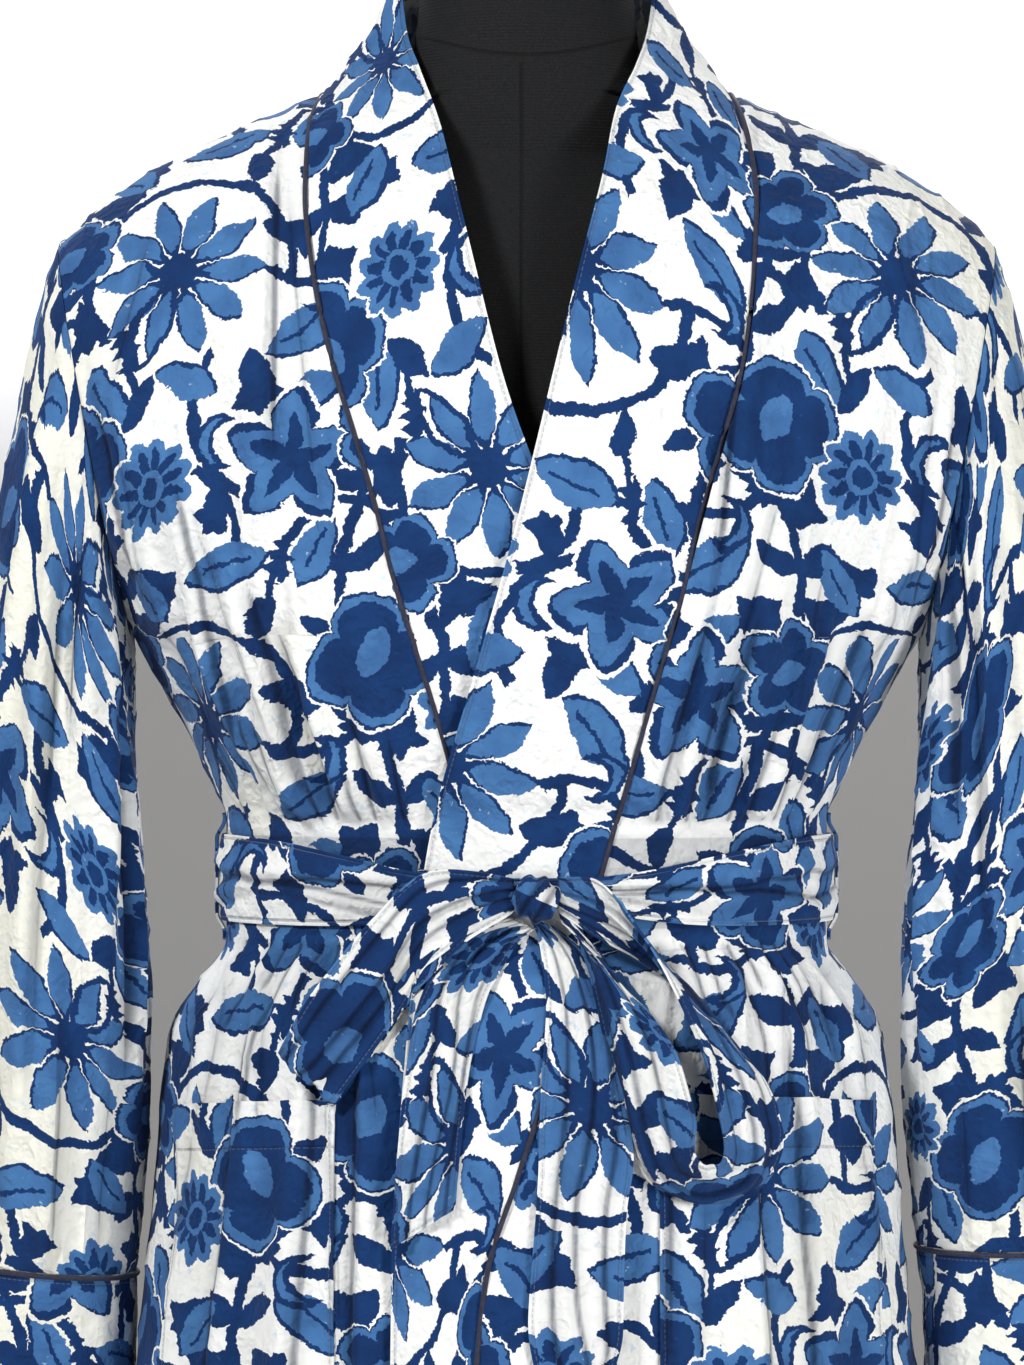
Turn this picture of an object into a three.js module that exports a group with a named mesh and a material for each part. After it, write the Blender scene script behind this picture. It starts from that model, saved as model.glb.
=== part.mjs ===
// A kimono robe in printed cotton, worn by a limbless dress form on a round stand.
// The robe wraps left over right. A flat band with a piped seam runs up both fronts and round the
// neck, the sleeves drop straight to deep cuffs, and a belt is tied in a bow over the waist.
// Millimetres, +Z up. The front faces -Y and the wearer's left is +X. The origin is the centre of
// the stand's underside, on the floor.
import * as THREE from "three";

const { Vector3 } = THREE;

// ---- Driving dimensions ----
const HEM_Z = 300;
const UNDERARM_Z = 1188;
const ARMHOLE = { bottomX: 233, topX: 277, topZ: 1420, depth: 75 };
const NECK = { seamX: 120, backSeamZ: 1488, backEdgeDrop: 2.3 };
const SHOULDER_ROUNDING = 150; // how far below the shoulder line the cloth reaches its full depth

const CLOTH = 1.6; // thickness of a cloth wall
const SEAM_GAP = 0.4; // between two panels at a seam
const POCKET_GAP = 2; // under a patch pocket, which hangs a little off its panel
const WRAP = { lift: 6, fullTo: 115, goneAt: 175, fadeFromZ: 1300, goneAtZ: 1440 };
const PIPING_RADIUS = 1.5;
const PIPING_ROOM = PIPING_RADIUS + 0.45; // from a piped seam's line to the cloth beside it

const BELT = { bottomZ: 1020, topZ: 1071, gap: 1.4, dipHalfWidth: 95, dipTop: 22, dipBottom: 3 };
const CARRIER = { bottomZ: 1008, topZ: 1083, halfWidth: 5, gap: 0.7, rise: 3.9, thickness: 1.4 };
const KNOT = { x: 5, z: 1038, halfWidth: 11.6, halfDepth: 11, halfHeight: 11, clear: 13.8 };

const CUFF_DEPTH = 80;
const RIGHT_CUFF_DROP = 16; // the wearer's right sleeve hangs this much lower

const FORM = { clearance: 0.8, neckTopZ: 1590, capRise: 8 };
const STAND = { poleRadius: 16, baseRadius: 205, baseHeight: 26, hubRadius: 34, hubHeight: 46 };

const COLOUR = { cloth: 0x6f8fbd, piping: 0x23233c, jersey: 0x15161a, stand: 0x2a2a2c };

// ---- Tables and small functions ----

const lerp = (a, b, t) => a + (b - a) * t;
const clamp01 = (t) => Math.min(1, Math.max(0, t));
const smooth = (t) => clamp01(t) ** 2 * (3 - 2 * clamp01(t));
const bell = (t) => Math.exp(-t * t);
const rad = (degrees) => (degrees * Math.PI) / 180;

// A short table. Its first column is the key, and at(key) gives the others, smooth between rows.
function table(columns, rows) {
  const sorted = [...rows].sort((a, b) => a[0] - b[0]);
  const last = sorted.length - 1;
  const slope = (i, c) => (sorted[i + 1][c] - sorted[i][c]) / (sorted[i + 1][0] - sorted[i][0]);
  const tangent = (i, c) => {
    if (i === 0) return slope(0, c);
    if (i === last) return slope(last - 1, c);
    const [before, after] = [slope(i - 1, c), slope(i, c)];
    return before * after <= 0 ? 0 : (2 * before * after) / (before + after);
  };
  return {
    at(key) {
      const k = Math.min(sorted[last][0], Math.max(sorted[0][0], key));
      let i = 0;
      while (i < last - 1 && sorted[i + 1][0] < k) i += 1;
      const span = sorted[i + 1][0] - sorted[i][0];
      const t = (k - sorted[i][0]) / span;
      const value = (c) =>
        sorted[i][c] * (1 + 2 * t) * (1 - t) ** 2 +
        sorted[i + 1][c] * t * t * (3 - 2 * t) +
        tangent(i, c) * span * t * (1 - t) ** 2 -
        tangent(i + 1, c) * span * t * t * (1 - t);
      return Object.fromEntries(columns.slice(1).map((name, n) => [name, value(n + 1)]));
    },
  };
}

// Stations along a piece, evenly numbered from 0, with smooth values between them.
function stations(columns, rows) {
  return table(["station", ...columns], rows.map((row, i) => [i, ...row]));
}

const takeOut = (v, unit) => v.addScaledVector(unit, -v.dot(unit));

// The unit normals of the surface point(u, v), all on the side that `outside` shows at its middle.
function normals({ point, across, along, outside, round = false }) {
  const step = 1e-3;
  const limit = (value, most) => Math.min(most, Math.max(0, value));
  const raw = (u, v) => {
    const [u0, u1] = round ? [u - step, u + step] : [limit(u - step, across), limit(u + step, across)];
    const [v0, v1] = [limit(v - step, along), limit(v + step, along)];
    const overU = point(u1, v).sub(point(u0, v));
    const overV = point(u, v1).sub(point(u, v0));
    return overU.cross(overV).normalize();
  };
  const facing = Math.sign(raw(round ? 0 : across / 2, along / 2).dot(outside));
  return (u, v) => raw(u, v).multiplyScalar(facing);
}

// A closed wall over the surface point(u, v), for whole-number steps 0..across and 0..along.
// raise(point) moves the outside out along the normal. `outside` is a direction that points away
// from the wearer at the middle of the piece. edge(u, v) may name a plane's unit normal that the
// end face at that edge keeps to. `round` closes the wall across.
function wall({
  point,
  across,
  along,
  outside,
  raise = () => 0,
  edge = () => [],
  round = false,
  thickness = CLOTH,
}) {
  const normalAt = normals({ point, across, along, outside, round });
  const columns = round ? across : across + 1;
  const outer = [];
  const inner = [];
  for (let v = 0; v <= along; v += 1) {
    for (let u = 0; u < columns; u += 1) {
      const base = point(u, v);
      const normal = normalAt(u, v);
      for (const unit of edge(u, v)) takeOut(normal, unit);
      normal.normalize();
      const top = base.clone().addScaledVector(normal, raise(base));
      outer.push(top);
      inner.push(top.clone().addScaledVector(normal, -thickness));
    }
  }
  return shell(outer, inner, columns, along, round);
}

// The closed mesh between two grids of points with the same columns and rows.
function shell(outer, inner, columns, along, round) {
  const positions = [];
  const quad = (a, b, c, d) => {
    for (const p of [a, b, c, a, c, d]) positions.push(p.x, p.y, p.z);
  };
  const at = (grid, u, v) => grid[v * columns + (u % columns)];
  const spans = round ? columns : columns - 1;
  for (let v = 0; v < along; v += 1) {
    for (let u = 0; u < spans; u += 1) {
      quad(at(outer, u, v), at(outer, u + 1, v), at(outer, u + 1, v + 1), at(outer, u, v + 1));
      quad(at(inner, u, v), at(inner, u, v + 1), at(inner, u + 1, v + 1), at(inner, u + 1, v));
    }
  }
  for (let u = 0; u < spans; u += 1) {
    quad(at(outer, u, 0), at(inner, u, 0), at(inner, u + 1, 0), at(outer, u + 1, 0));
    quad(at(outer, u, along), at(outer, u + 1, along), at(inner, u + 1, along), at(inner, u, along));
  }
  for (let v = 0; v < along && !round; v += 1) {
    quad(at(outer, 0, v), at(outer, 0, v + 1), at(inner, 0, v + 1), at(inner, 0, v));
    quad(at(outer, spans, v), at(inner, spans, v), at(inner, spans, v + 1), at(outer, spans, v + 1));
  }
  return facedOut(positions);
}

// A geometry from loose triangles, turned round where they enclose a negative volume.
function facedOut(positions) {
  let volume = 0;
  const [a, b, c] = [new Vector3(), new Vector3(), new Vector3()];
  for (let i = 0; i < positions.length; i += 9) {
    a.fromArray(positions, i);
    b.fromArray(positions, i + 3);
    c.fromArray(positions, i + 6);
    volume += a.dot(b.cross(c));
  }
  if (volume < 0) {
    for (let i = 0; i < positions.length; i += 9) {
      for (let k = 0; k < 3; k += 1) {
        [positions[i + 3 + k], positions[i + 6 + k]] = [positions[i + 6 + k], positions[i + 3 + k]];
      }
    }
  }
  const geometry = new THREE.BufferGeometry();
  geometry.setAttribute("position", new THREE.Float32BufferAttribute(positions, 3));
  geometry.computeVertexNormals();
  return geometry;
}

// A cord of round section through a list of points, joined to itself where `closed`.
function cord(points, radius, sides, closed = false) {
  const rings = points.map((p, i) => {
    const before = points[closed ? (i + points.length - 1) % points.length : Math.max(0, i - 1)];
    const after = points[closed ? (i + 1) % points.length : Math.min(points.length - 1, i + 1)];
    const along = after.clone().sub(before).normalize();
    const right = new Vector3().crossVectors(along, new Vector3(0, 0, 1));
    if (right.length() < 0.3) right.crossVectors(along, new Vector3(0, 1, 0));
    right.normalize();
    const up = new Vector3().crossVectors(right, along);
    return Array.from({ length: sides }, (_, k) => {
      const turn = (2 * Math.PI * k) / sides;
      const [aside, above] = [radius * Math.cos(turn), radius * Math.sin(turn)];
      return p.clone().addScaledVector(right, aside).addScaledVector(up, above);
    });
  });
  const positions = [];
  const face = (...corners) => {
    for (const p of corners) positions.push(p.x, p.y, p.z);
  };
  const spans = closed ? rings.length : rings.length - 1;
  for (let i = 0; i < spans; i += 1) {
    const [from, to] = [rings[i], rings[(i + 1) % rings.length]];
    for (let k = 0; k < sides; k += 1) {
      const next = (k + 1) % sides;
      face(from[k], from[next], to[next]);
      face(from[k], to[next], to[k]);
    }
  }
  if (!closed) {
    const [first, end] = [rings[0], rings[rings.length - 1]];
    for (let k = 1; k < sides - 1; k += 1) {
      face(first[0], first[k + 1], first[k]);
      face(end[0], end[k], end[k + 1]);
    }
  }
  return facedOut(positions);
}

// ---- The robe's body form ----

// Half sections of the worn robe below the underarm, and its depths up to the neck.
const HALF_WIDTH = table(["z", "x"], [
  [300, 275],
  [500, 254],
  [700, 235],
  [830, 223],
  [900, 218],
  [953, 211],
  [985, 193],
  [1008, 178],
  [1080, 178],
  [1098, 185],
  [1127, 199],
  [1188, 233],
]);
const DEPTH = table(["z", "front", "back"], [
  [300, 185, 175],
  [500, 175, 163],
  [700, 165, 150],
  [830, 158, 141],
  [900, 151, 136],
  [953, 142, 129],
  [985, 129, 120],
  [1008, 118, 113],
  [1080, 118, 113],
  [1104, 125, 119],
  [1140, 134, 126],
  [1188, 141, 132],
  [1260, 144, 134],
  [1320, 140, 132],
  [1380, 131, 128],
  [1420, 124, 122],
  [1520, 116, 118],
]);
const SHOULDER = table(["x", "z"], [
  [0, 1518],
  [60, 1514],
  [117, 1510],
  [128, 1506],
  [170, 1489],
  [219, 1466],
  [250, 1445],
  [277, 1420],
  [320, 1375],
]);

const front = -1;
const back = 1;
const faceName = (face) => (face === front ? "front" : "back");
const armholeAxis = new Vector3(ARMHOLE.topZ - UNDERARM_Z, 0, ARMHOLE.bottomX - ARMHOLE.topX).normalize();
const acrossDepth = new Vector3(0, 1, 0);

function armholeX(z) {
  const t = clamp01((z - UNDERARM_Z) / (ARMHOLE.topZ - UNDERARM_Z));
  return lerp(ARMHOLE.bottomX, ARMHOLE.topX, t);
}

// How much of its full depth the robe keeps, this far below the shoulder line.
function rounding(below) {
  const t = clamp01(below / SHOULDER_ROUNDING);
  return Math.sqrt(1 - (1 - t) ** 2);
}

// The section at a height: the half width of its oval, and the angle round it where the panel ends.
function section(face, z) {
  if (z <= UNDERARM_Z) return { width: HALF_WIDTH.at(z).x, endAngle: Math.PI / 2 };
  const halfHeight = (ARMHOLE.topZ - UNDERARM_Z) / 2;
  const level = Math.min(z, ARMHOLE.topZ - 3);
  const fromMiddle = (level - UNDERARM_Z - halfHeight) / halfHeight;
  const openingDepth = ARMHOLE.depth * Math.sqrt(1 - fromMiddle ** 2);
  const edgeX = armholeX(z);
  const reach = DEPTH.at(level)[faceName(face)] * rounding(SHOULDER.at(armholeX(level)).z - level);
  const ratio = Math.min(0.75, openingDepth / reach);
  return { width: edgeX / Math.sqrt(1 - ratio ** 2), endAngle: Math.acos(ratio) };
}

// The point of the robe's outside at an angle round the section and a height, on the +X side.
function bodyAt(face, angle, z) {
  const { width } = section(face, z);
  const x = width * Math.sin(angle);
  const depth = DEPTH.at(z)[faceName(face)] * Math.cos(angle);
  const y = depth * rounding(SHOULDER.at(Math.abs(x)).z - z);
  return new Vector3(x, face * (y + SEAM_GAP / 2), z);
}

const angleAt = (face, x, z) => Math.asin(Math.max(-1, Math.min(1, x / section(face, z).width)));
const frontY = (x, z) => bodyAt(front, angleAt(front, x, z), z).y;

// ---- The wrap, gathers and folds ----

// How far the left front stands off the right one that it covers.
function wrapLift(x, z) {
  const overX = 1 - smooth((x - WRAP.fullTo) / (WRAP.goneAt - WRAP.fullTo));
  const overZ = 1 - smooth((z - WRAP.fadeFromZ) / (WRAP.goneAtZ - WRAP.fadeFromZ));
  return WRAP.lift * overX * overZ;
}

// Gathers at the waist: their place on the waist line, width, height, and reach up and down.
const GATHERS = {
  left: table(["n", "x", "width", "height", "up", "down"], [
    [0, 84, 9, 3.2, 150, 120],
    [1, 108, 8, 2.4, 80, 180],
    [2, 128, 8, 3.6, 190, 140],
    [3, 146, 6, 2.6, 90, 90],
    [4, 160, 5, 3.0, 120, 160],
  ]),
  right: table(["n", "x", "width", "height", "up", "down"], [
    [0, 82, 9, 3.0, 120, 160],
    [1, 104, 8, 3.8, 200, 110],
    [2, 126, 8, 2.6, 110, 190],
    [3, 145, 6, 3.2, 170, 100],
    [4, 161, 5, 2.4, 80, 140],
  ]),
  back: table(["n", "x", "width", "height", "up", "down"], [
    [0, 12, 9, 3.0, 150, 190],
    [1, 44, 10, 3.6, 210, 130],
    [2, 74, 8, 2.6, 120, 220],
    [3, 104, 9, 3.6, 180, 150],
    [4, 130, 7, 2.8, 110, 190],
    [5, 154, 6, 3.0, 140, 120],
  ]),
};
const GATHER_COUNT = { left: 5, right: 5, back: 6 };

function gatherHeight(kind, x, z) {
  const above = z > (BELT.bottomZ + BELT.topZ) / 2;
  const away = above ? z - BELT.topZ - 4 : BELT.bottomZ - 4 - z;
  if (away <= 0) return 0;
  const fan = z > UNDERARM_Z ? 1.25 : HALF_WIDTH.at(z).x / HALF_WIDTH.at(BELT.topZ).x;
  let height = 0;
  for (let n = 0; n < GATHER_COUNT[kind]; n += 1) {
    const g = GATHERS[kind].at(n);
    const reach = above ? g.up : g.down;
    const rise = smooth(away / 14) * (1 - smooth(away / reach));
    height += g.height * rise * bell((x - g.x * fan) / (g.width * fan));
  }
  return height;
}

// Long soft folds: from (x0, z0) to (x1, z1), with a width, and a height that is below 0 in a trough.
const FOLDS = {
  left: [
    { x0: 142, z0: 1450, x1: 92, z1: 1120, width: 9, height: 2.6 },
    { x0: 176, z0: 1400, x1: 128, z1: 1130, width: 13, height: 3.4 },
    { x0: 262, z0: 1300, x1: 196, z1: 1175, width: 12, height: 4.2 },
    { x0: 240, z0: 1235, x1: 205, z1: 1205, width: 9, height: -3.2 },
    { x0: 120, z0: 900, x1: 138, z1: 330, width: 22, height: 7 },
    { x0: 60, z0: 760, x1: 66, z1: 310, width: 20, height: 4.5 },
    { x0: 196, z0: 860, x1: 232, z1: 320, width: 20, height: 6 },
  ],
  right: [
    { x0: 210, z0: 1295, x1: 116, z1: 1075, width: 12, height: 4.2 },
    { x0: 160, z0: 1150, x1: 128, z1: 1085, width: 8, height: 3 },
    { x0: 170, z0: 1410, x1: 140, z1: 1180, width: 14, height: 3 },
    { x0: 258, z0: 1290, x1: 200, z1: 1180, width: 12, height: 4 },
    { x0: 238, z0: 1230, x1: 206, z1: 1200, width: 9, height: -3 },
    { x0: 132, z0: 880, x1: 150, z1: 320, width: 22, height: 7 },
    { x0: 200, z0: 850, x1: 236, z1: 320, width: 20, height: 6 },
  ],
  back: [
    { x0: 0, z0: 1400, x1: 6, z1: 1120, width: 16, height: 3.4 },
    { x0: 90, z0: 1440, x1: 62, z1: 1120, width: 15, height: 3.6 },
    { x0: 190, z0: 1400, x1: 130, z1: 1110, width: 15, height: 4.2 },
    { x0: 255, z0: 1290, x1: 196, z1: 1170, width: 12, height: 4 },
    { x0: 30, z0: 930, x1: 40, z1: 305, width: 24, height: 7 },
    { x0: 118, z0: 920, x1: 140, z1: 305, width: 24, height: 8 },
    { x0: 196, z0: 880, x1: 226, z1: 305, width: 20, height: 7 },
  ],
};

function foldHeight(kind, x, z) {
  let height = 0;
  for (const f of FOLDS[kind]) {
    const [dx, dz] = [f.x1 - f.x0, f.z1 - f.z0];
    const length = Math.hypot(dx, dz);
    const t = ((x - f.x0) * dx + (z - f.z0) * dz) / length ** 2;
    const aside = ((x - f.x0) * dz - (z - f.z0) * dx) / length;
    const ends = smooth((t + 0.06) / 0.3) * (1 - smooth((t - 0.78) / 0.3));
    height += f.height * ends * bell(aside / f.width);
  }
  return height;
}

// The robe's relief over its plain form, with x counted from the centre towards this side.
function relief(kind, x, z) {
  const lift = kind === "left" ? wrapLift(x, z) : 0;
  const inner = kind === "back" ? 1 : smooth((x - 40) / 30);
  return lift + inner * (gatherHeight(kind, x, z) + foldHeight(kind, x, z));
}

// ---- Panels ----

// Heights of the panel rows below the underarm, closer together at the waist.
const ROW_HEIGHTS = [
  HEM_Z, 395, 490, 585, 675, 755, 825, 880, 925, 960, 986, 1006,
  BELT.bottomZ, 1045, BELT.topZ, 1086, 1108, 1142, UNDERARM_Z,
];
const LOWER_ROWS = ROW_HEIGHTS.length - 1;
const UPPER_ROWS = 10;
const PANEL_ROWS = LOWER_ROWS + UPPER_ROWS;

function rowHeight(row, topZ) {
  if (row <= LOWER_ROWS) {
    const i = Math.min(LOWER_ROWS - 1, Math.floor(row));
    return lerp(ROW_HEIGHTS[i], ROW_HEIGHTS[i + 1], row - i);
  }
  const share = (1 - Math.cos((Math.PI * (row - LOWER_ROWS)) / UPPER_ROWS)) / 2;
  return lerp(UNDERARM_Z, topZ, share);
}

// The height of the back neck seam, and of the shoulder line beside it.
function neckSeamZ(x) {
  return lerp(NECK.backSeamZ, SHOULDER.at(NECK.seamX).z, (x / NECK.seamX) ** 2);
}

// The top of a panel: the shoulder line, or on the back the edge under the neck seam's piping.
function panelTop(face, x) {
  const edgeX = NECK.seamX + PIPING_ROOM;
  if (face === front || x >= edgeX) return SHOULDER.at(x).z;
  const away = 1 - (x / edgeX) ** 8;
  return Math.min(SHOULDER.at(x).z, neckSeamZ(x) - NECK.backEdgeDrop * away);
}

// A point of a panel from its inner edge (share 0) to its side (share 1), at a row.
function panelPoint(face, innerX, share, row) {
  let z = rowHeight(row, panelTop(face, lerp(innerX(UNDERARM_Z), ARMHOLE.topX, share)));
  let angle = 0;
  for (let i = 0; i < 12; i += 1) {
    const { width, endAngle } = section(face, z);
    const startAngle = Math.asin(innerX(z) / width);
    angle = lerp(startAngle, endAngle, share);
    z = rowHeight(row, panelTop(face, Math.max(0, width * Math.sin(angle))));
  }
  return bodyAt(face, angle, z);
}

// The planes that a panel's end faces keep to: its side, its armhole and its shoulder seam.
function panelEdges(share, row) {
  const planes = [];
  if (share === 1) planes.push(row > LOWER_ROWS ? armholeAxis : acrossDepth);
  if (row === PANEL_ROWS) planes.push(acrossDepth);
  return planes;
}

const mirrored = (side, p) => new Vector3(side * p.x, p.y, p.z);
const mirroredAll = (side, planes) => planes.map((p) => mirrored(side, p));

const FRONT_COLUMNS = 12;

function frontPanel(side, kind) {
  const innerX = (z) => BANDS[kind].at(z).seamX + PIPING_ROOM;
  return wall({
    point: (u, row) => mirrored(side, panelPoint(front, innerX, u / FRONT_COLUMNS, row)),
    across: FRONT_COLUMNS,
    along: PANEL_ROWS,
    outside: new Vector3(0, -1, 0),
    raise: (p) => relief(kind, side * p.x, p.z),
    edge: (u, row) => mirroredAll(side, panelEdges(u / FRONT_COLUMNS, row)),
  });
}

const BACK_COLUMNS = 20;

function backPanel() {
  const half = BACK_COLUMNS / 2;
  const sideOf = (u) => (u < half ? -1 : 1);
  const shareOf = (u) => Math.abs(u - half) / half;
  return wall({
    point: (u, row) => mirrored(sideOf(u), panelPoint(back, () => 0, shareOf(u), row)),
    across: BACK_COLUMNS,
    along: PANEL_ROWS,
    outside: new Vector3(0, 1, 0),
    raise: (p) => relief("back", Math.abs(p.x), p.z),
    edge: (u, row) => mirroredAll(sideOf(u), panelEdges(shareOf(u), row)),
  });
}

// ---- The band and its piping ----

// The bands on the body: at heights up the seam, the seam's x and the free edge beside it.
const BAND_COLUMNS = ["seamZ", "seamX", "edgeX", "edgeZ"];
const BANDS = {
  left: table(BAND_COLUMNS, [
    [300, -40, -85, 300],
    [610, -33, -79, 610],
    [765, -29, -76, 765],
    [835, -21, -75, 840],
    [885, -4, -72, 893],
    [940, 13, -67, 958],
    [1000, 28, -62, 1020],
    [1060, 44, -52, 1085],
    [1139, 66, -29, 1168],
    [1208, 86, -10, 1236],
    [1270, 101, 6, 1300],
    [1335, 121, 26, 1384],
    [1390, 129, 42, 1446],
    [1440, 132, 51, 1492],
    [1485, 127, 66, 1528],
    [1504, 122, 73, 1553],
    [1509.5, 120, 76, 1582],
  ]),
  right: table(BAND_COLUMNS, [
    [300, -30, -106, 300],
    [610, -22, -101, 610],
    [765, -16, -97, 765],
    [835, -10, -94, 838],
    [900, 2, -88, 908],
    [960, 14, -80, 972],
    [1040, 28, -68, 1062],
    [1105, 42, -50, 1135],
    [1156, 56, -38, 1190],
    [1212, 74, -22, 1246],
    [1275, 90, 4, 1303],
    [1342, 111, 26, 1383],
    [1405, 124, 42, 1450],
    [1448, 128, 53, 1494],
    [1485, 127, 65, 1527],
    [1504, 122, 72, 1550],
    [1509.5, 120, 75, 1582],
  ]),
};
// The band's free edge where it stands up round the neck: its depth in front, and the back half.
const NECK_EDGE_DEPTH = table(["seamZ", "y"], [
  [1440, -72],
  [1485, -38],
  [1504, -10],
  [1509.5, 12],
]);
const BACK_NECK_ROWS = [
  { seamX: 109, edgeX: 73, edgeY: 30, edgeZ: 1588 },
  { seamX: 95, edgeX: 66, edgeY: 43, edgeZ: 1591 },
  { seamX: 64, edgeX: 46, edgeY: 58, edgeZ: 1592 },
  { seamX: 32, edgeX: 23, edgeY: 66, edgeZ: 1590 },
  { seamX: 0.45, edgeX: 0.45, edgeY: 69, edgeZ: 1588 },
];
const BAND_ROWS = PANEL_ROWS + BACK_NECK_ROWS.length;
const BAND_ACROSS = 5;
const STANDS_FROM_ROW = PANEL_ROWS - 5; // above this row the band leaves the body and stands up

// The band's seam and free edge at a row. Up to the shoulder its rows are the front panel's rows.
function bandRow(kind, row) {
  if (row <= PANEL_ROWS) {
    const seamZ = rowHeight(row, SHOULDER.at(NECK.seamX).z);
    const b = BANDS[kind].at(seamZ);
    const flat = 1 - smooth((row - STANDS_FROM_ROW) / 3);
    const edgeY = lerp(NECK_EDGE_DEPTH.at(seamZ).y, frontY(b.edgeX, b.edgeZ), flat);
    const seam = new Vector3(b.seamX, frontY(b.seamX, seamZ), seamZ);
    return { seam, free: new Vector3(b.edgeX, edgeY, b.edgeZ), flat };
  }
  const b = BACK_NECK_ROWS[row - PANEL_ROWS - 1];
  const seamZ = neckSeamZ(b.seamX);
  const seam = bodyAt(back, angleAt(back, b.seamX, seamZ), seamZ);
  return { seam, free: new Vector3(b.edgeX, b.edgeY, b.edgeZ), flat: 0 };
}

// A point of a band, from `room` beside its seam (share 0) to its free edge (share 1).
function bandPoint(kind, share, row, room = 0) {
  const on = (whole) => {
    const { seam, free, flat } = bandRow(kind, whole);
    const p = seam.clone().lerp(free, lerp(room / seam.distanceTo(free), 1, share));
    if (flat > 0) p.y = lerp(p.y, frontY(p.x, p.z), flat);
    return p;
  };
  const whole = Math.min(BAND_ROWS - 1, Math.floor(row));
  return on(whole).lerp(on(whole + 1), row - whole);
}

const bandLift = (kind, p) => (kind === "left" && p.y < 0 ? wrapLift(p.x, p.z) : 0);

// The surface of a band, from `room` beside its seam to its free edge.
function bandSurface(side, kind, room) {
  return {
    point: (u, v) => mirrored(side, bandPoint(kind, u / BAND_ACROSS, v, room)),
    across: BAND_ACROSS,
    along: BAND_ROWS,
    outside: new Vector3(0, -1, 0),
  };
}

function band(side, kind) {
  const centreBack = new Vector3(1, 0, 0);
  return wall({
    ...bandSurface(side, kind, PIPING_ROOM),
    raise: (p) => bandLift(kind, new Vector3(side * p.x, p.y, p.z)),
    edge: (u, v) => (v === BAND_ROWS ? [centreBack] : []),
  });
}

// The piping's cord lies in the seam, its middle just under the cloth's outside.
function bandPiping(side, kind) {
  const points = [];
  const sunk = 0.35 * PIPING_RADIUS;
  const surface = bandSurface(side, kind, 0);
  const normalAt = normals(surface);
  for (let row = 0; row <= BAND_ROWS; row += 1) {
    const lift = bandLift(kind, bandPoint(kind, 0, row));
    points.push(surface.point(0, row).addScaledVector(normalAt(0, row), lift - sunk));
  }
  return cord(points, PIPING_RADIUS, 6);
}

// ---- Sleeves and cuffs ----

// Stations down a sleeve, from the armhole to the cuff: its inner and outer edge, and half depth.
const SLEEVE = stations(["innerX", "innerZ", "outerX", "outerZ", "halfDepth"], [
  [233, 1188, 277, 1420, 75],
  [233, 1158, 291, 1372, 76],
  [233, 1122, 303, 1312, 76],
  [230, 1078, 316, 1240, 75],
  [225, 1030, 327, 1160, 74],
  [223, 978, 337, 1062, 72],
  [224, 915, 344, 955, 69],
  [228, 866, 346, 880, 65],
  [231, 828, 346, 830, 62],
]);
const SLEEVE_END = 8;
const SLEEVE_AROUND = 24;
const SLEEVE_ROWS = 13;

// Folds down a sleeve: round it from the outer edge to the front (degrees), and its two stations.
const SLEEVE_FOLDS = [
  { turn: 62, from: 0.4, to: 4.2, width: 13, height: 5 },
  { turn: 98, from: 0.3, to: 3.4, width: 12, height: -4.5 },
  { turn: 128, from: 1.0, to: 6.5, width: 15, height: 4.5 },
  { turn: 34, from: 2.2, to: 7.4, width: 15, height: 4 },
  { turn: 78, from: 4.0, to: 7.8, width: 16, height: 4 },
  { turn: -40, from: 1.2, to: 6.8, width: 17, height: 4.5 },
  { turn: -88, from: 0.8, to: 5.0, width: 16, height: -3.5 },
  { turn: -122, from: 2.4, to: 7.0, width: 17, height: 4 },
];

function sleeveRing(station, drop) {
  const s = SLEEVE.at(station);
  const lower = drop * smooth(station / SLEEVE_END);
  const inner = new Vector3(s.innerX, 0, s.innerZ - lower);
  const outer = new Vector3(s.outerX, 0, s.outerZ - lower * 0.45);
  const middle = inner.clone().lerp(outer, 0.5);
  return { middle, reach: outer.sub(middle), halfDepth: s.halfDepth };
}

function ringPoint({ middle, reach, halfDepth }, turn) {
  return middle
    .clone()
    .addScaledVector(reach, Math.cos(turn))
    .add(new Vector3(0, -halfDepth * Math.sin(turn), 0));
}

function sleeveRelief(station, degrees) {
  let height = 0;
  for (const f of SLEEVE_FOLDS) {
    const t = (station - f.from) / (f.to - f.from);
    const turn = ((degrees - f.turn + 540) % 360) - 180;
    height += f.height * smooth(t / 0.35) * (1 - smooth((t - 0.7) / 0.4)) * bell(turn / f.width);
  }
  return height;
}

function sleeve(side, drop) {
  const station = (v) => (v / SLEEVE_ROWS) * SLEEVE_END;
  const turn = (u) => (2 * Math.PI * u) / SLEEVE_AROUND;
  const clearOfSeam = armholeAxis.clone().multiplyScalar(SEAM_GAP);
  const point = (u, v) => {
    const ring = sleeveRing(station(v), drop);
    const p = ringPoint(ring, turn(u)).add(clearOfSeam);
    const away = p.clone().sub(ring.middle).normalize();
    p.addScaledVector(away, sleeveRelief(station(v), (turn(u) * 180) / Math.PI));
    return mirrored(side, p);
  };
  return wall({
    point,
    across: SLEEVE_AROUND,
    along: SLEEVE_ROWS,
    outside: new Vector3(side, 0, 0),
    edge: (u, v) => (v === 0 ? mirroredAll(side, [armholeAxis]) : []),
    round: true,
  });
}

// The ring below the sleeve at a distance along it, for the cuff and its piping.
function cuffRing(down, drop) {
  const ring = sleeveRing(SLEEVE_END, drop);
  const t = down / CUFF_DEPTH;
  ring.middle.add(new Vector3(2 * t, 0, -down));
  ring.reach.multiplyScalar(1 - 0.02 * t);
  return ring;
}

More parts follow.
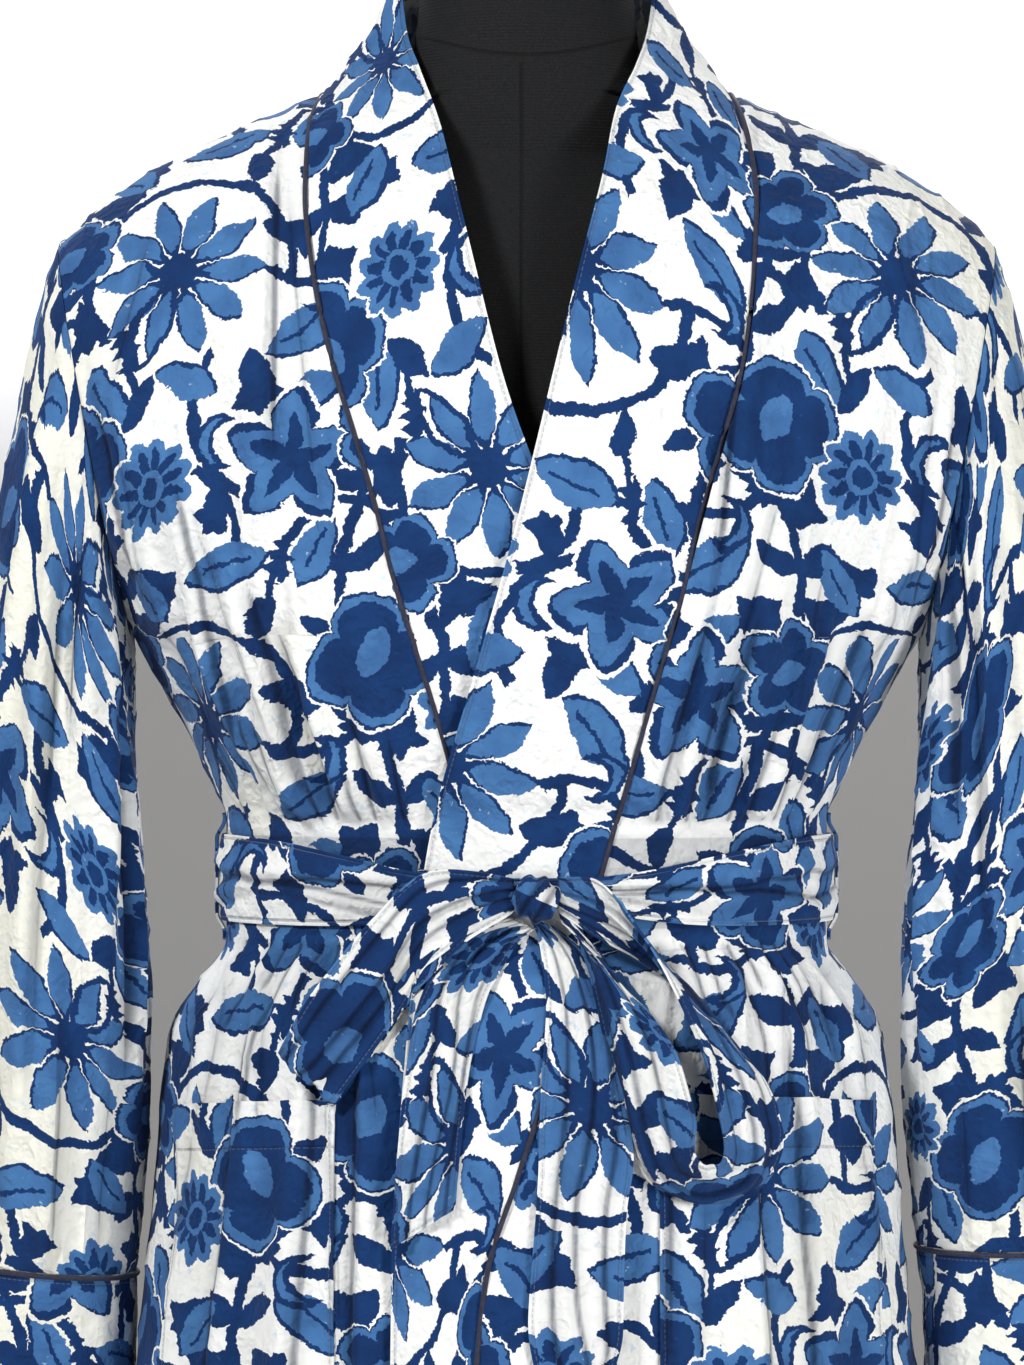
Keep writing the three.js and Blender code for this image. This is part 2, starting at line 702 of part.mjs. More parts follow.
function cuff(side, drop) {
  const rows = 3;
  const top = 2 * PIPING_ROOM;
  const point = (u, v) => {
    const ring = cuffRing(lerp(top, CUFF_DEPTH, v / rows), drop);
    return mirrored(side, ringPoint(ring, (2 * Math.PI * u) / SLEEVE_AROUND));
  };
  return wall({
    point,
    across: SLEEVE_AROUND,
    along: rows,
    outside: new Vector3(side, 0, 0),
    edge: () => [new Vector3(0, 0, 1)],
    round: true,
  });
}

function cuffPiping(side, drop) {
  const ring = cuffRing(PIPING_ROOM, drop);
  const points = [];
  for (let u = 0; u < SLEEVE_AROUND; u += 1) {
    points.push(mirrored(side, ringPoint(ring, (2 * Math.PI * u) / SLEEVE_AROUND)));
  }
  return cord(points, PIPING_RADIUS, 6, true);
}

// ---- Pockets ----

const POCKET_COLUMNS = 7;
const POCKET_ROWS = 7;
const POCKETS = {
  left: { innerX: 73, outerX: 200, bottomZ: 735, topInnerZ: 927, topOuterZ: 917 },
  right: { innerX: 108, outerX: 205, bottomZ: 735, topInnerZ: 923, topOuterZ: 914 },
};

function pocket(side, kind) {
  const p = POCKETS[kind];
  const point = (u, v) => {
    const share = u / POCKET_COLUMNS;
    const z = lerp(p.bottomZ, lerp(p.topInnerZ, p.topOuterZ, share), v / POCKET_ROWS);
    const from = angleAt(front, p.innerX, z);
    const to = angleAt(front, p.outerX, z);
    return mirrored(side, bodyAt(front, lerp(from, to, share), z));
  };
  return wall({
    point,
    across: POCKET_COLUMNS,
    along: POCKET_ROWS,
    outside: new Vector3(0, -1, 0),
    raise: (q) => relief(kind, side * q.x, q.z) + POCKET_GAP + CLOTH,
  });
}

// ---- Belt, carriers and bow ----

const BELT_AROUND = 56;
const BELT_ROWS = 3;

// How far the belt stands off the robe's plain form at the front.
function beltLift(x) {
  const leftOfWrap = 1 - smooth((-x - 62) / 34);
  return x < 0 ? WRAP.lift * leftOfWrap : wrapLift(x, BELT.bottomZ);
}

function belt() {
  const middleZ = (BELT.bottomZ + BELT.topZ) / 2;
  const point = (u, v) => {
    const turn = (2 * Math.PI * u) / BELT_AROUND;
    const face = Math.cos(turn) > 0 ? front : back;
    const width = HALF_WIDTH.at(middleZ).x;
    const depth = DEPTH.at(middleZ)[faceName(face)];
    const x = width * Math.sin(turn);
    const dip = face === front ? bell(x / BELT.dipHalfWidth) ** 2 : 0;
    const low = BELT.bottomZ - BELT.dipBottom * dip;
    const high = BELT.topZ - BELT.dipTop * dip;
    const stand = BELT.gap + CLOTH + (face === front ? beltLift(x) : 0);
    const out = new Vector3(Math.sin(turn), -Math.cos(turn), 0);
    const plain = new Vector3(x, -depth * Math.cos(turn), lerp(low, high, v / BELT_ROWS));
    return plain.addScaledVector(out, stand);
  };
  const crease = (u, v) => (v === 1 || v === 2 ? 0.5 : 0);
  return wall({
    point: (u, v) => point(u, v).add(new Vector3(0, 0, crease(u, v))),
    across: BELT_AROUND,
    along: BELT_ROWS,
    outside: new Vector3(0, -1, 0),
    edge: () => [new Vector3(0, 0, 1)],
    round: true,
  });
}

function beltCarrier(side) {
  const rows = 8;
  const point = (u, v) => {
    const z = lerp(CARRIER.bottomZ, CARRIER.topZ, v / rows);
    const over = smooth((z - CARRIER.bottomZ - 4) / 11) * (1 - smooth((z - CARRIER.topZ + 15) / 11));
    const x = HALF_WIDTH.at(z).x + CARRIER.gap + CARRIER.thickness + CARRIER.rise * over;
    return new Vector3(side * x, lerp(-CARRIER.halfWidth, CARRIER.halfWidth, u), z);
  };
  return wall({
    point,
    across: 1,
    along: rows,
    outside: new Vector3(side, 0, 0),
    thickness: CARRIER.thickness,
  });
}

// Stations along each ribbon of the bow: its middle, how far it hangs in front of the robe, and
// the half width from its middle to one edge.
const RIBBON_COLUMNS = ["x", "z", "clear", "halfX", "halfY", "halfZ"];
const RIBBONS = {
  bow_loop_right: [
    [-7.4, 1040, 15, 0, 0, 8],
    [-30, 1036, 19, 0, -3, 15],
    [-58, 1026, 22, -2, -4, 22],
    [-82, 997, 22, -11, -4, 18],
    [-108, 963, 21, -15, -3, 14],
    [-123, 940, 18, -14, -1, 13],
    [-127, 934, 14, -13.5, 0, 13],
    [-122, 939, 10, -14, 0, 13],
    [-100, 970, 9.5, -13, 0, 15],
    [-64, 1010, 12, -4, 0, 19],
    [-32, 1030, 12, 0, 0, 13],
    [-7.4, 1038, 12, 0, 0, 7],
  ],
  bow_loop_left: [
    [17.9, 1040, 14.5, 0, 0, 8],
    [48, 1028, 22, -3, -8, 14],
    [80, 1000, 26, -8, -12, 14],
    [106, 966, 27, -8, -15, 9],
    [122, 932, 27, -7, -16, 4],
    [130, 900, 26, -6, -17, 2],
    [122, 882, 26, -2, -17, 5],
    [100, 877, 25, 0, -16, 6],
    [80, 888, 24, 10, -14, 6],
    [73, 915, 23, 14, -13, 3],
    [64, 950, 22, 13, -12, 0],
    [50, 985, 20, 10, -10, -5],
    [34, 1012, 17, 6, -5, -10],
    [18, 1034, 13.5, 1, 0, -7],
  ],
  bow_tail_right: [
    [-2.5, 1023.5, 8, 6.5, 0, -3],
    [-18, 1017, 5.5, 14, 0, -1],
    [-32, 1001, 5.5, 16.5, -1, 0],
    [-45, 973, 6, 16.5, -2, 1],
    [-51, 940, 6, 15.5, -2, 1],
    [-55, 905, 6, 15.5, -2, 3],
    [-59, 853, 6, 15.5, -2, 10],
  ],
  bow_tail_left: [
    [8, 1024.2, 8, 6, 0, -2],
    [19, 1011, 7.5, 11, 0, -3],
    [28, 975, 6, 15, -1, -1],
    [31, 932, 6, 20, -1, -3],
    [33, 895, 6, 23, -1, -2],
    [30, 860, 6, 22, -1, 0],
    [27, 800, 6, 23, -1, 0],
    [27, 768, 6, 18, -1, 3],
  ],
};
const RIBBON_ACROSS = 3;
const RIBBON_ROWS = { bow_loop_left: 26, bow_loop_right: 22, bow_tail_left: 12, bow_tail_right: 10 };

function ribbon(name) {
  const rows = RIBBONS[name];
  const track = stations(RIBBON_COLUMNS, rows);
  const steps = RIBBON_ROWS[name];
  const point = (u, v) => {
    const s = track.at((v / steps) * (rows.length - 1));
    const side = lerp(-1, 1, u / RIBBON_ACROSS);
    const y = frontY(s.x, s.z) - Math.max(wrapLift(s.x, s.z), 0) - s.clear;
    return new Vector3(s.x + side * s.halfX, y + side * s.halfY, s.z + side * s.halfZ);
  };
  return wall({ point, across: RIBBON_ACROSS, along: steps, outside: new Vector3(0, -1, 0) });
}

function bowKnot() {
  const geometry = new THREE.SphereGeometry(1, 18, 12);
  const position = geometry.getAttribute("position");
  const p = new Vector3();
  for (let i = 0; i < position.count; i += 1) {
    p.fromBufferAttribute(position, i);
    const ridges = 1 + 0.07 * Math.cos(5 * Math.atan2(p.y, p.z) + 2 * p.x);
    const square = 1 / Math.max(0.8, Math.hypot(p.x ** 2, p.y ** 2, p.z ** 2) ** 0.5);
    p.set(p.x * KNOT.halfWidth * square, p.y * KNOT.halfDepth, p.z * KNOT.halfHeight * ridges * square);
    position.setXYZ(i, p.x, p.y, p.z);
  }
  geometry.computeVertexNormals();
  return geometry;
}

// ---- The dress form and its stand ----

// Sections of the form's body: half width, and its front and back depths.
const FORM_SECTIONS = table(["z", "halfWidth", "front", "back"], [
  [775, 120, 78, 74],
  [785, 150, 98, 92],
  [815, 168, 110, 104],
  [880, 176, 116, 112],
  [950, 163, 108, 102],
  [1040, 148, 100, 92],
  [1130, 160, 110, 103],
  [1220, 176, 122, 112],
  [1300, 188, 122, 114],
  [1370, 203, 104, 104],
  [1420, 211, 84, 86],
  [1450, 208, 66, 70],
]);
// Sections of its neck, which meets the shoulders in a hollow curve.
const FORM_NECK = table(["z", "halfWidth", "front", "back"], [
  [1440, 90, 60, 62],
  [1486, 88, 58, 62],
  [1506, 80, 58, 61],
  [1518, 73, 58, 60],
  [1535, 67, 58, 59],
  [1560, 64, 58, 58],
  [1590, 62, 57, 57],
]);
const FORM_AROUND = 32;
const FORM_HEIGHTS = [
  775, 785, 815, 860, 910, 960, 1010, 1060, 1110, 1160, 1210, 1260, 1310, 1350, 1385, 1415, 1440,
];
const SHOULDER_STEPS = [206, 194, 178, 160, 141];
const SHOULDER_DEPTH_SHARE = 0.54; // of the cloth's depth over the form's shoulders
const NECK_HEIGHTS = [1508, 1518, 1536, 1562, FORM.neckTopZ];

// The rows of the form, each with its height, half width and depth at an x: up the trunk, along
// under the shoulders' cloth, and up the neck.
function formRows() {
  const oval = (z, o) => ({
    z,
    halfWidth: o.halfWidth,
    depthAt: (face, x) => o[faceName(face)] * Math.sqrt(Math.max(0, 1 - (x / o.halfWidth) ** 2)),
  });
  const rows = FORM_HEIGHTS.map((z) => oval(z, FORM_SECTIONS.at(z)));
  for (const halfWidth of SHOULDER_STEPS) {
    const clothZ = SHOULDER.at(halfWidth).z;
    const z = clothZ - CLOTH - FORM.clearance;
    const neck = oval(z, FORM_NECK.at(z));
    const underCloth = (face, x) =>
      SHOULDER_DEPTH_SHARE * Math.abs(bodyAt(face, angleAt(face, x, clothZ), clothZ).y - face * SEAM_GAP / 2);
    rows.push({ z, halfWidth, depthAt: (face, x) => Math.max(neck.depthAt(face, x), underCloth(face, x)) });
  }
  for (const z of NECK_HEIGHTS) rows.push(oval(z, FORM_NECK.at(z)));
  return rows;
}

// A closed solid through rings of the rows' shapes, capped flat at both ends.
function ringedSolid(rows, around) {
  const rings = rows.map((row) =>
    Array.from({ length: around }, (_, k) => {
      const turn = (2 * Math.PI * k) / around;
      const [s, c] = [Math.sin(turn), Math.cos(turn)];
      const x = row.halfWidth * s;
      const face = c > 0 ? front : back;
      return new Vector3(x, face * row.depthAt(face, Math.abs(x)), row.z);
    }),
  );
  const positions = [];
  const face = (...corners) => {
    for (const p of corners) positions.push(p.x, p.y, p.z);
  };
  for (let i = 0; i < rings.length - 1; i += 1) {
    for (let k = 0; k < around; k += 1) {
      const next = (k + 1) % around;
      face(rings[i][k], rings[i][next], rings[i + 1][next]);
      face(rings[i][k], rings[i + 1][next], rings[i + 1][k]);
    }
  }
  const [first, end] = [rings[0], rings[rings.length - 1]];
  for (let k = 1; k < around - 1; k += 1) {
    face(first[0], first[k + 1], first[k]);
    face(end[0], end[k], end[k + 1]);
  }
  return facedOut(positions);
}

function neckCap() {
  const rim = FORM_NECK.at(FORM.neckTopZ);
  const bottom = FORM.neckTopZ + 0.3;
  const rows = [0, 0.3, 0.7, 1].map((t) => {
    const shrink = 1 - 0.32 * t * t;
    const halfWidth = (rim.halfWidth - 1) * shrink;
    return {
      z: bottom + FORM.capRise * Math.sin(rad(90 * t)),
      halfWidth,
      depthAt: (face, x) => (rim.front - 1) * shrink * Math.sqrt(Math.max(0, 1 - (x / halfWidth) ** 2)),
    };
  });
  return ringedSolid(rows, FORM_AROUND);
}

// Turned parts of the stand, from their radius and height profiles.
function turned(profile, segments) {
  const points = profile.map(([radius, z]) => new THREE.Vector2(radius, z));
  return new THREE.LatheGeometry(points, segments).rotateX(Math.PI / 2);
}

function standBase() {
  const { baseRadius: r, baseHeight: h, hubRadius, hubHeight } = STAND;
  return turned([
    [0, 0],
    [r - 3, 0],
    [r, 3],
    [r, h * 0.45],
    [r - 8, h * 0.72],
    [hubRadius + 30, h],
    [hubRadius, h + 6],
    [hubRadius - 4, hubHeight],
    [0, hubHeight],
  ], 40);
}

function standPole() {
  const bottom = STAND.hubHeight + 0.3;
  const top = FORM_HEIGHTS[0] - 0.3;
  const collar = STAND.poleRadius + 8;
  return turned([
    [0, bottom],
    [STAND.poleRadius, bottom],
    [STAND.poleRadius, top - 40],
    [collar, top - 34],
    [collar, top],
    [0, top],
  ], 24);
}

// ---- The scene graph ----

const finish = {
  cloth: () => new THREE.MeshStandardMaterial({ color: COLOUR.cloth, roughness: 0.85, metalness: 0 }),
  piping: () => new THREE.MeshStandardMaterial({ color: COLOUR.piping, roughness: 0.8, metalness: 0 }),
  jersey: () => new THREE.MeshStandardMaterial({ color: COLOUR.jersey, roughness: 0.9, metalness: 0 }),
  stand: () => new THREE.MeshStandardMaterial({ color: COLOUR.stand, roughness: 0.45, metalness: 0.7 }),
};

const robe = new THREE.Group();
const form = new THREE.Group();

function add(group, name, geometry, kind) {
  const mesh = new THREE.Mesh(geometry, finish[kind]());
  mesh.name = name;
  group.add(mesh);
  return mesh;
}

const SIDES = [
  { kind: "left", side: 1, drop: 0 },
  { kind: "right", side: -1, drop: RIGHT_CUFF_DROP },
];

add(robe, "back", backPanel(), "cloth");
for (const { kind, side, drop } of SIDES) {
  add(robe, `front_${kind}`, frontPanel(side, kind), "cloth");
  add(robe, `band_${kind}`, band(side, kind), "cloth");
  add(robe, `band_piping_${kind}`, bandPiping(side, kind), "piping");
  add(robe, `sleeve_${kind}`, sleeve(side, drop), "cloth");
  add(robe, `cuff_${kind}`, cuff(side, drop), "cloth");
  add(robe, `cuff_piping_${kind}`, cuffPiping(side, drop), "piping");
  add(robe, `pocket_${kind}`, pocket(side, kind), "cloth");
  add(robe, `belt_carrier_${kind}`, beltCarrier(side), "cloth");
}
add(robe, "belt", belt(), "cloth");
for (const name of Object.keys(RIBBONS)) add(robe, name, ribbon(name), "cloth");
const knot = add(robe, "bow_knot", bowKnot(), "cloth");
knot.position.set(KNOT.x, frontY(KNOT.x, KNOT.z) - WRAP.lift - KNOT.clear, KNOT.z);

add(form, "form_body", ringedSolid(formRows(), FORM_AROUND), "jersey");
add(form, "form_neck_cap", neckCap(), "jersey");
add(form, "form_pole", standPole(), "stand");
add(form, "form_base", standBase(), "stand");

const root = new THREE.Group();
root.add(robe, form);

export default root;
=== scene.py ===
"""The cloth, form, stand and studio of a printed cotton kimono robe.

Sizes are in millimetres until a mesh is made, which is in metres. +Z is up, the robe's front
faces -Y and the wearer's left is +X.
"""

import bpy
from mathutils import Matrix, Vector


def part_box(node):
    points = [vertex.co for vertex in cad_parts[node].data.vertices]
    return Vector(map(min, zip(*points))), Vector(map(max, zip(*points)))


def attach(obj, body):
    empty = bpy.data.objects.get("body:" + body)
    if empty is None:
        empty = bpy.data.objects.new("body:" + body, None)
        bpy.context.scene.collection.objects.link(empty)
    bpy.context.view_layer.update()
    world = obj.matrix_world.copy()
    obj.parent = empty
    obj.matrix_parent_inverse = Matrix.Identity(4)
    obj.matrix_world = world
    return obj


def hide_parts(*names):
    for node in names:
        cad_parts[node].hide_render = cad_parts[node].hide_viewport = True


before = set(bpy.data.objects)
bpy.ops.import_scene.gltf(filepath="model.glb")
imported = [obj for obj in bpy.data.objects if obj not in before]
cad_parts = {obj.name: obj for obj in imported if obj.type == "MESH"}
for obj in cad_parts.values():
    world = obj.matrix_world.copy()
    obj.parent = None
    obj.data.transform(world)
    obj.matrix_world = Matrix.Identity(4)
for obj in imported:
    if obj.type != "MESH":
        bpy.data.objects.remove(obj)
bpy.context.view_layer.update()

import math
from functools import partial

import bmesh
import bpy
import numpy as np
from mathutils import Vector

MM = 0.001

# ---- Driving dimensions, the same as the frame's ----

HEM_Z = 300
UNDERARM_Z = 1188
ARMHOLE_BOTTOM_X, ARMHOLE_TOP_X = 233, 277
ARMHOLE_TOP_Z, ARMHOLE_DEPTH = 1420, 75
ARMHOLE_END_ROOM, ARMHOLE_DEEPEST = 3, 0.75  # below its top, and as a share of the body's depth
NECK_SEAM_X, BACK_NECK_Z, BACK_EDGE_DROP = 120, 1488, 2.3
SHOULDER_ROUNDING = 150
CLOTH = 1.3
SEAM_GAP = 0.4
SEAM_ROOM = 1.0  # from a piped seam's line to the cloth, which runs in under the piping
POCKET_LIFT = 0.9
WRAP_LIFT, WRAP_FULL_TO, WRAP_GONE_AT = 6, 115, 175
WRAP_FADE_Z, WRAP_GONE_Z = 1300, 1440
PIPING_RADIUS = 1.5
PIPING_ROOM = 1.95
BELT_BOTTOM, BELT_TOP, BELT_GAP = 1020, 1071, 1.4
BELT_MIDDLE = (BELT_BOTTOM + BELT_TOP) / 2
CUFF_DEPTH = 80
RIGHT_CUFF_DROP = 16
FRONT, BACK = -1, 1

# ---- Tables and small functions ----


def lerp(a, b, t):
    return a + (b - a) * t


def smooth(t):
    t = np.clip(t, 0, 1)
    return t * t * (3 - 2 * t)


def bell(t):
    return np.exp(-t * t)


def steep(t):
    """A bell with one steep flank."""
    return np.where(t > 0, bell(t / 0.3), bell(t))


def faded(t, start, rise, end, fall):
    """1 from start + rise to end, and 0 before start and past end + fall."""
    return smooth((t - start) / rise) * (1 - smooth((t - end) / fall))


class Table:
    """A short table. The first column is the key, and at(key, name) is smooth between the rows."""

    def __init__(self, columns, rows):
        rows = np.array(sorted(rows), float)
        self.columns = columns.split()[1:]
        self.keys, self.values = rows[:, 0], rows[:, 1:]
        rise = np.diff(self.values, axis=0) / np.diff(self.keys)[:, None]
        before, after = rise[:-1], rise[1:]
        together = before * after > 0
        total = np.where(together, before + after, 1)
        inner = np.where(together, 2 * before * after / total, 0)
        self.slopes = np.vstack([rise[:1], inner, rise[-1:]])

    def at(self, key, name):
        c = self.columns.index(name)
        k = np.clip(key, self.keys[0], self.keys[-1])
        i = np.clip(np.searchsorted(self.keys, k) - 1, 0, len(self.keys) - 2)
        span = self.keys[i + 1] - self.keys[i]
        t = (k - self.keys[i]) / span
        return (
            self.values[i, c] * (1 + 2 * t) * (1 - t) ** 2
            + self.values[i + 1, c] * t * t * (3 - 2 * t)
            + self.slopes[i, c] * span * t * (1 - t) ** 2
            - self.slopes[i + 1, c] * span * t * t * (1 - t)
        )


def stations(columns, rows):
    """A table whose key is the number of the row, from 0."""
    return Table("station " + columns, [(i, *row) for i, row in enumerate(rows)])


def xyz(x, y, z):
    return np.stack(np.broadcast_arrays(x, y, z), axis=-1).astype(float)


def unit(a):
    return a / np.maximum(np.linalg.norm(a, axis=-1, keepdims=True), 1e-9)


def mirrored(side, p):
    return p * np.array([side, 1, 1])


def noise(x, y, seed):
    """Smooth uneven heights from -1 to 1, about one rise for each unit of x and y."""
    xi, yi = np.floor(x), np.floor(y)
    fx, fy = x - xi, y - yi
    sx, sy = fx * fx * (3 - 2 * fx), fy * fy * (3 - 2 * fy)

    def corner(i, j):
        n = np.sin((xi + i) * 12.9898 + (yi + j) * 78.233 + seed * 37.719) * 43758.5453
        return 2 * (n - np.floor(n)) - 1

    low = lerp(corner(0, 0), corner(1, 0), sx)
    high = lerp(corner(0, 1), corner(1, 1), sx)
    return lerp(low, high, sy)


def crumple(a, b, seed):
    """Soft ripples along the cloth and small creases over them. b runs along the thread."""
    warp = 14 * noise(a / 60, b / 75, seed + 5)
    ripple = 1.1 * noise((a + warp) / 24, b / 80, seed)
    ridge = (1 - np.abs(noise((a + warp) / 17, (b + 2 * warp) / 27, seed + 1))) ** 4
    small = 0.16 * noise(a / 7, b / 10, seed + 2)
    return ripple + 1.5 * ridge + small - 0.5


# ---- The robe's body form ----

HALF_WIDTH = Table("z x", [
    (300, 275), (500, 254), (700, 235), (830, 223), (900, 218), (953, 211),
    (985, 193), (1008, 178), (1080, 178), (1098, 185), (1127, 199), (1188, 233),
])
DEPTH = Table("z front back", [
    (300, 185, 175), (500, 175, 163), (700, 165, 150), (830, 158, 141), (900, 151, 136),
    (953, 142, 129), (985, 129, 120), (1008, 118, 113), (1080, 118, 113), (1104, 125, 119),
    (1140, 134, 126), (1188, 141, 132), (1260, 144, 134), (1320, 140, 132), (1380, 131, 128),
    (1420, 124, 122), (1520, 116, 118),
])
SHOULDER = Table("x z", [
    (0, 1518), (60, 1514), (117, 1510), (128, 1506), (170, 1489), (219, 1466), (250, 1445),
    (277, 1420), (320, 1375),
])
ARMHOLE_AXIS = unit(
    np.array([ARMHOLE_TOP_Z - UNDERARM_Z, 0, ARMHOLE_BOTTOM_X - ARMHOLE_TOP_X], float)
)


def armhole_x(z):
    t = np.clip((z - UNDERARM_Z) / (ARMHOLE_TOP_Z - UNDERARM_Z), 0, 1)
    return lerp(ARMHOLE_BOTTOM_X, ARMHOLE_TOP_X, t)


def depth_at(face, z):
    return DEPTH.at(z, "front" if face == FRONT else "back")


def rounding(below):
    t = np.clip(below / SHOULDER_ROUNDING, 0, 1)
    return np.sqrt(1 - (1 - t) ** 2)


def section(face, z):
    """The half width of the body's oval at a height, and the angle round it where a panel ends."""
    half = (ARMHOLE_TOP_Z - UNDERARM_Z) / 2
    level = np.clip(z, UNDERARM_Z, ARMHOLE_TOP_Z - ARMHOLE_END_ROOM)
    from_middle = (level - UNDERARM_Z - half) / half
    opening = ARMHOLE_DEPTH * np.sqrt(np.maximum(0, 1 - from_middle**2))
    reach = depth_at(face, level) * rounding(SHOULDER.at(armhole_x(level), "z") - level)
    ratio = np.minimum(ARMHOLE_DEEPEST, opening / reach)
    low = z <= UNDERARM_Z
    width = np.where(low, HALF_WIDTH.at(z, "x"), armhole_x(z) / np.sqrt(1 - ratio**2))
    return width, np.where(low, math.pi / 2, np.arccos(ratio))


def body_at(face, angle, z):
    width, _ = section(face, z)
    x = width * np.sin(angle)
    y = depth_at(face, z) * np.cos(angle) * rounding(SHOULDER.at(np.abs(x), "z") - z)
    return xyz(x, face * (y + SEAM_GAP / 2), z)


def angle_at(face, x, z):
    return np.arcsin(np.clip(x / section(face, z)[0], -1, 1))


def front_y(x, z):
    return body_at(FRONT, angle_at(FRONT, x, z), z)[..., 1]


# ---- The wrap, gathers, folds and creases ----


def wrap_lift(x, z):
    over_x = 1 - smooth((x - WRAP_FULL_TO) / (WRAP_GONE_AT - WRAP_FULL_TO))
    over_z = 1 - smooth((z - WRAP_FADE_Z) / (WRAP_GONE_Z - WRAP_FADE_Z))
    return WRAP_LIFT * over_x * over_z


# Gathers at the waist: x on the waist line, width, height, and reach up and down.
GATHERS = {
    "left": [
        (84, 9, 3.2, 150, 120), (108, 8, 2.4, 80, 180), (128, 8, 3.6, 190, 140),
        (146, 6, 2.6, 90, 90), (160, 5, 3.0, 120, 160), (70, 4, 1.4, 60, 70),
        (96, 3.5, 1.7, 70, 90), (118, 3.5, 1.5, 110, 60), (138, 3, 1.8, 70, 110),
    ],
    "right": [
        (82, 9, 3.0, 120, 160), (104, 8, 3.8, 200, 110), (126, 8, 2.6, 110, 190),
        (145, 6, 3.2, 170, 100), (161, 5, 2.4, 80, 140), (68, 4, 1.5, 90, 60),
        (93, 3.5, 1.8, 60, 100), (115, 3.5, 1.6, 90, 80), (136, 3, 1.7, 120, 60),
    ],
    "back": [
        (12, 9, 3.0, 150, 190), (44, 10, 3.6, 210, 130), (74, 8, 2.6, 120, 220),
        (104, 9, 3.6, 180, 150), (130, 7, 2.8, 110, 190), (154, 6, 3.0, 140, 120),
        (28, 4, 1.6, 90, 90), (60, 4, 1.7, 70, 110), (90, 4, 1.5, 110, 70),
        (118, 3.5, 1.8, 80, 100),
    ],
}


GATHER_GAIN, GATHER_SPREAD = 1.7, 1.2
GATHER_START, GATHER_SWELL = 4, 14  # from the belt's edge, and on to the full height
CHEST_FAN = 1.25  # how far the gathers have spread above the underarm


def gather_lines(kind, x, z):
    """For each gather: how far aside of it a place is, its width there, height and share."""
    above = z > BELT_MIDDLE
    away = np.where(above, z - BELT_TOP - GATHER_START, BELT_BOTTOM - GATHER_START - z)
    widening = HALF_WIDTH.at(z, "x") / HALF_WIDTH.at(BELT_TOP, "x")
    fan = np.where(z > UNDERARM_Z, CHEST_FAN, widening)
    for place, width, rise, up, down in GATHERS[kind]:
        ends = faded(away, 0, GATHER_SWELL, 0, np.where(above, up, down))
        spread = GATHER_SPREAD * width * fan
        yield x - place * fan, spread, rise, np.where(away > 0, ends, 0)


def gather_height(kind, x, z):
    height = 0
    for aside, spread, rise, ends in gather_lines(kind, x, z):
        height = height + GATHER_GAIN * rise * ends * steep(aside / spread)
    return height


# Long soft folds from (x0, z0) to (x1, z1), with a width, and a height below 0 in a trough.
FOLDS = {
    "left": [
        (142, 1450, 92, 1120, 9, 2.6), (176, 1400, 128, 1130, 13, 3.4),
        (262, 1300, 196, 1175, 12, 4.2), (240, 1235, 205, 1205, 9, -3.2),
        (120, 900, 138, 330, 22, 7), (60, 760, 66, 310, 20, 4.5), (196, 860, 232, 320, 20, 6),
    ],
    "right": [
        (210, 1295, 116, 1075, 12, 4.2), (160, 1150, 128, 1085, 8, 3),
        (170, 1410, 140, 1180, 14, 3), (258, 1290, 200, 1180, 12, 4),
        (238, 1230, 206, 1200, 9, -3), (132, 880, 150, 320, 22, 7), (200, 850, 236, 320, 20, 6),
    ],
    "back": [
        (0, 1400, 6, 1120, 16, 3.4), (90, 1440, 62, 1120, 15, 3.6),
        (190, 1400, 130, 1110, 15, 4.2), (255, 1290, 196, 1170, 12, 4),
        (30, 930, 40, 305, 24, 7), (118, 920, 140, 305, 24, 8), (196, 880, 226, 305, 20, 7),
    ],
}
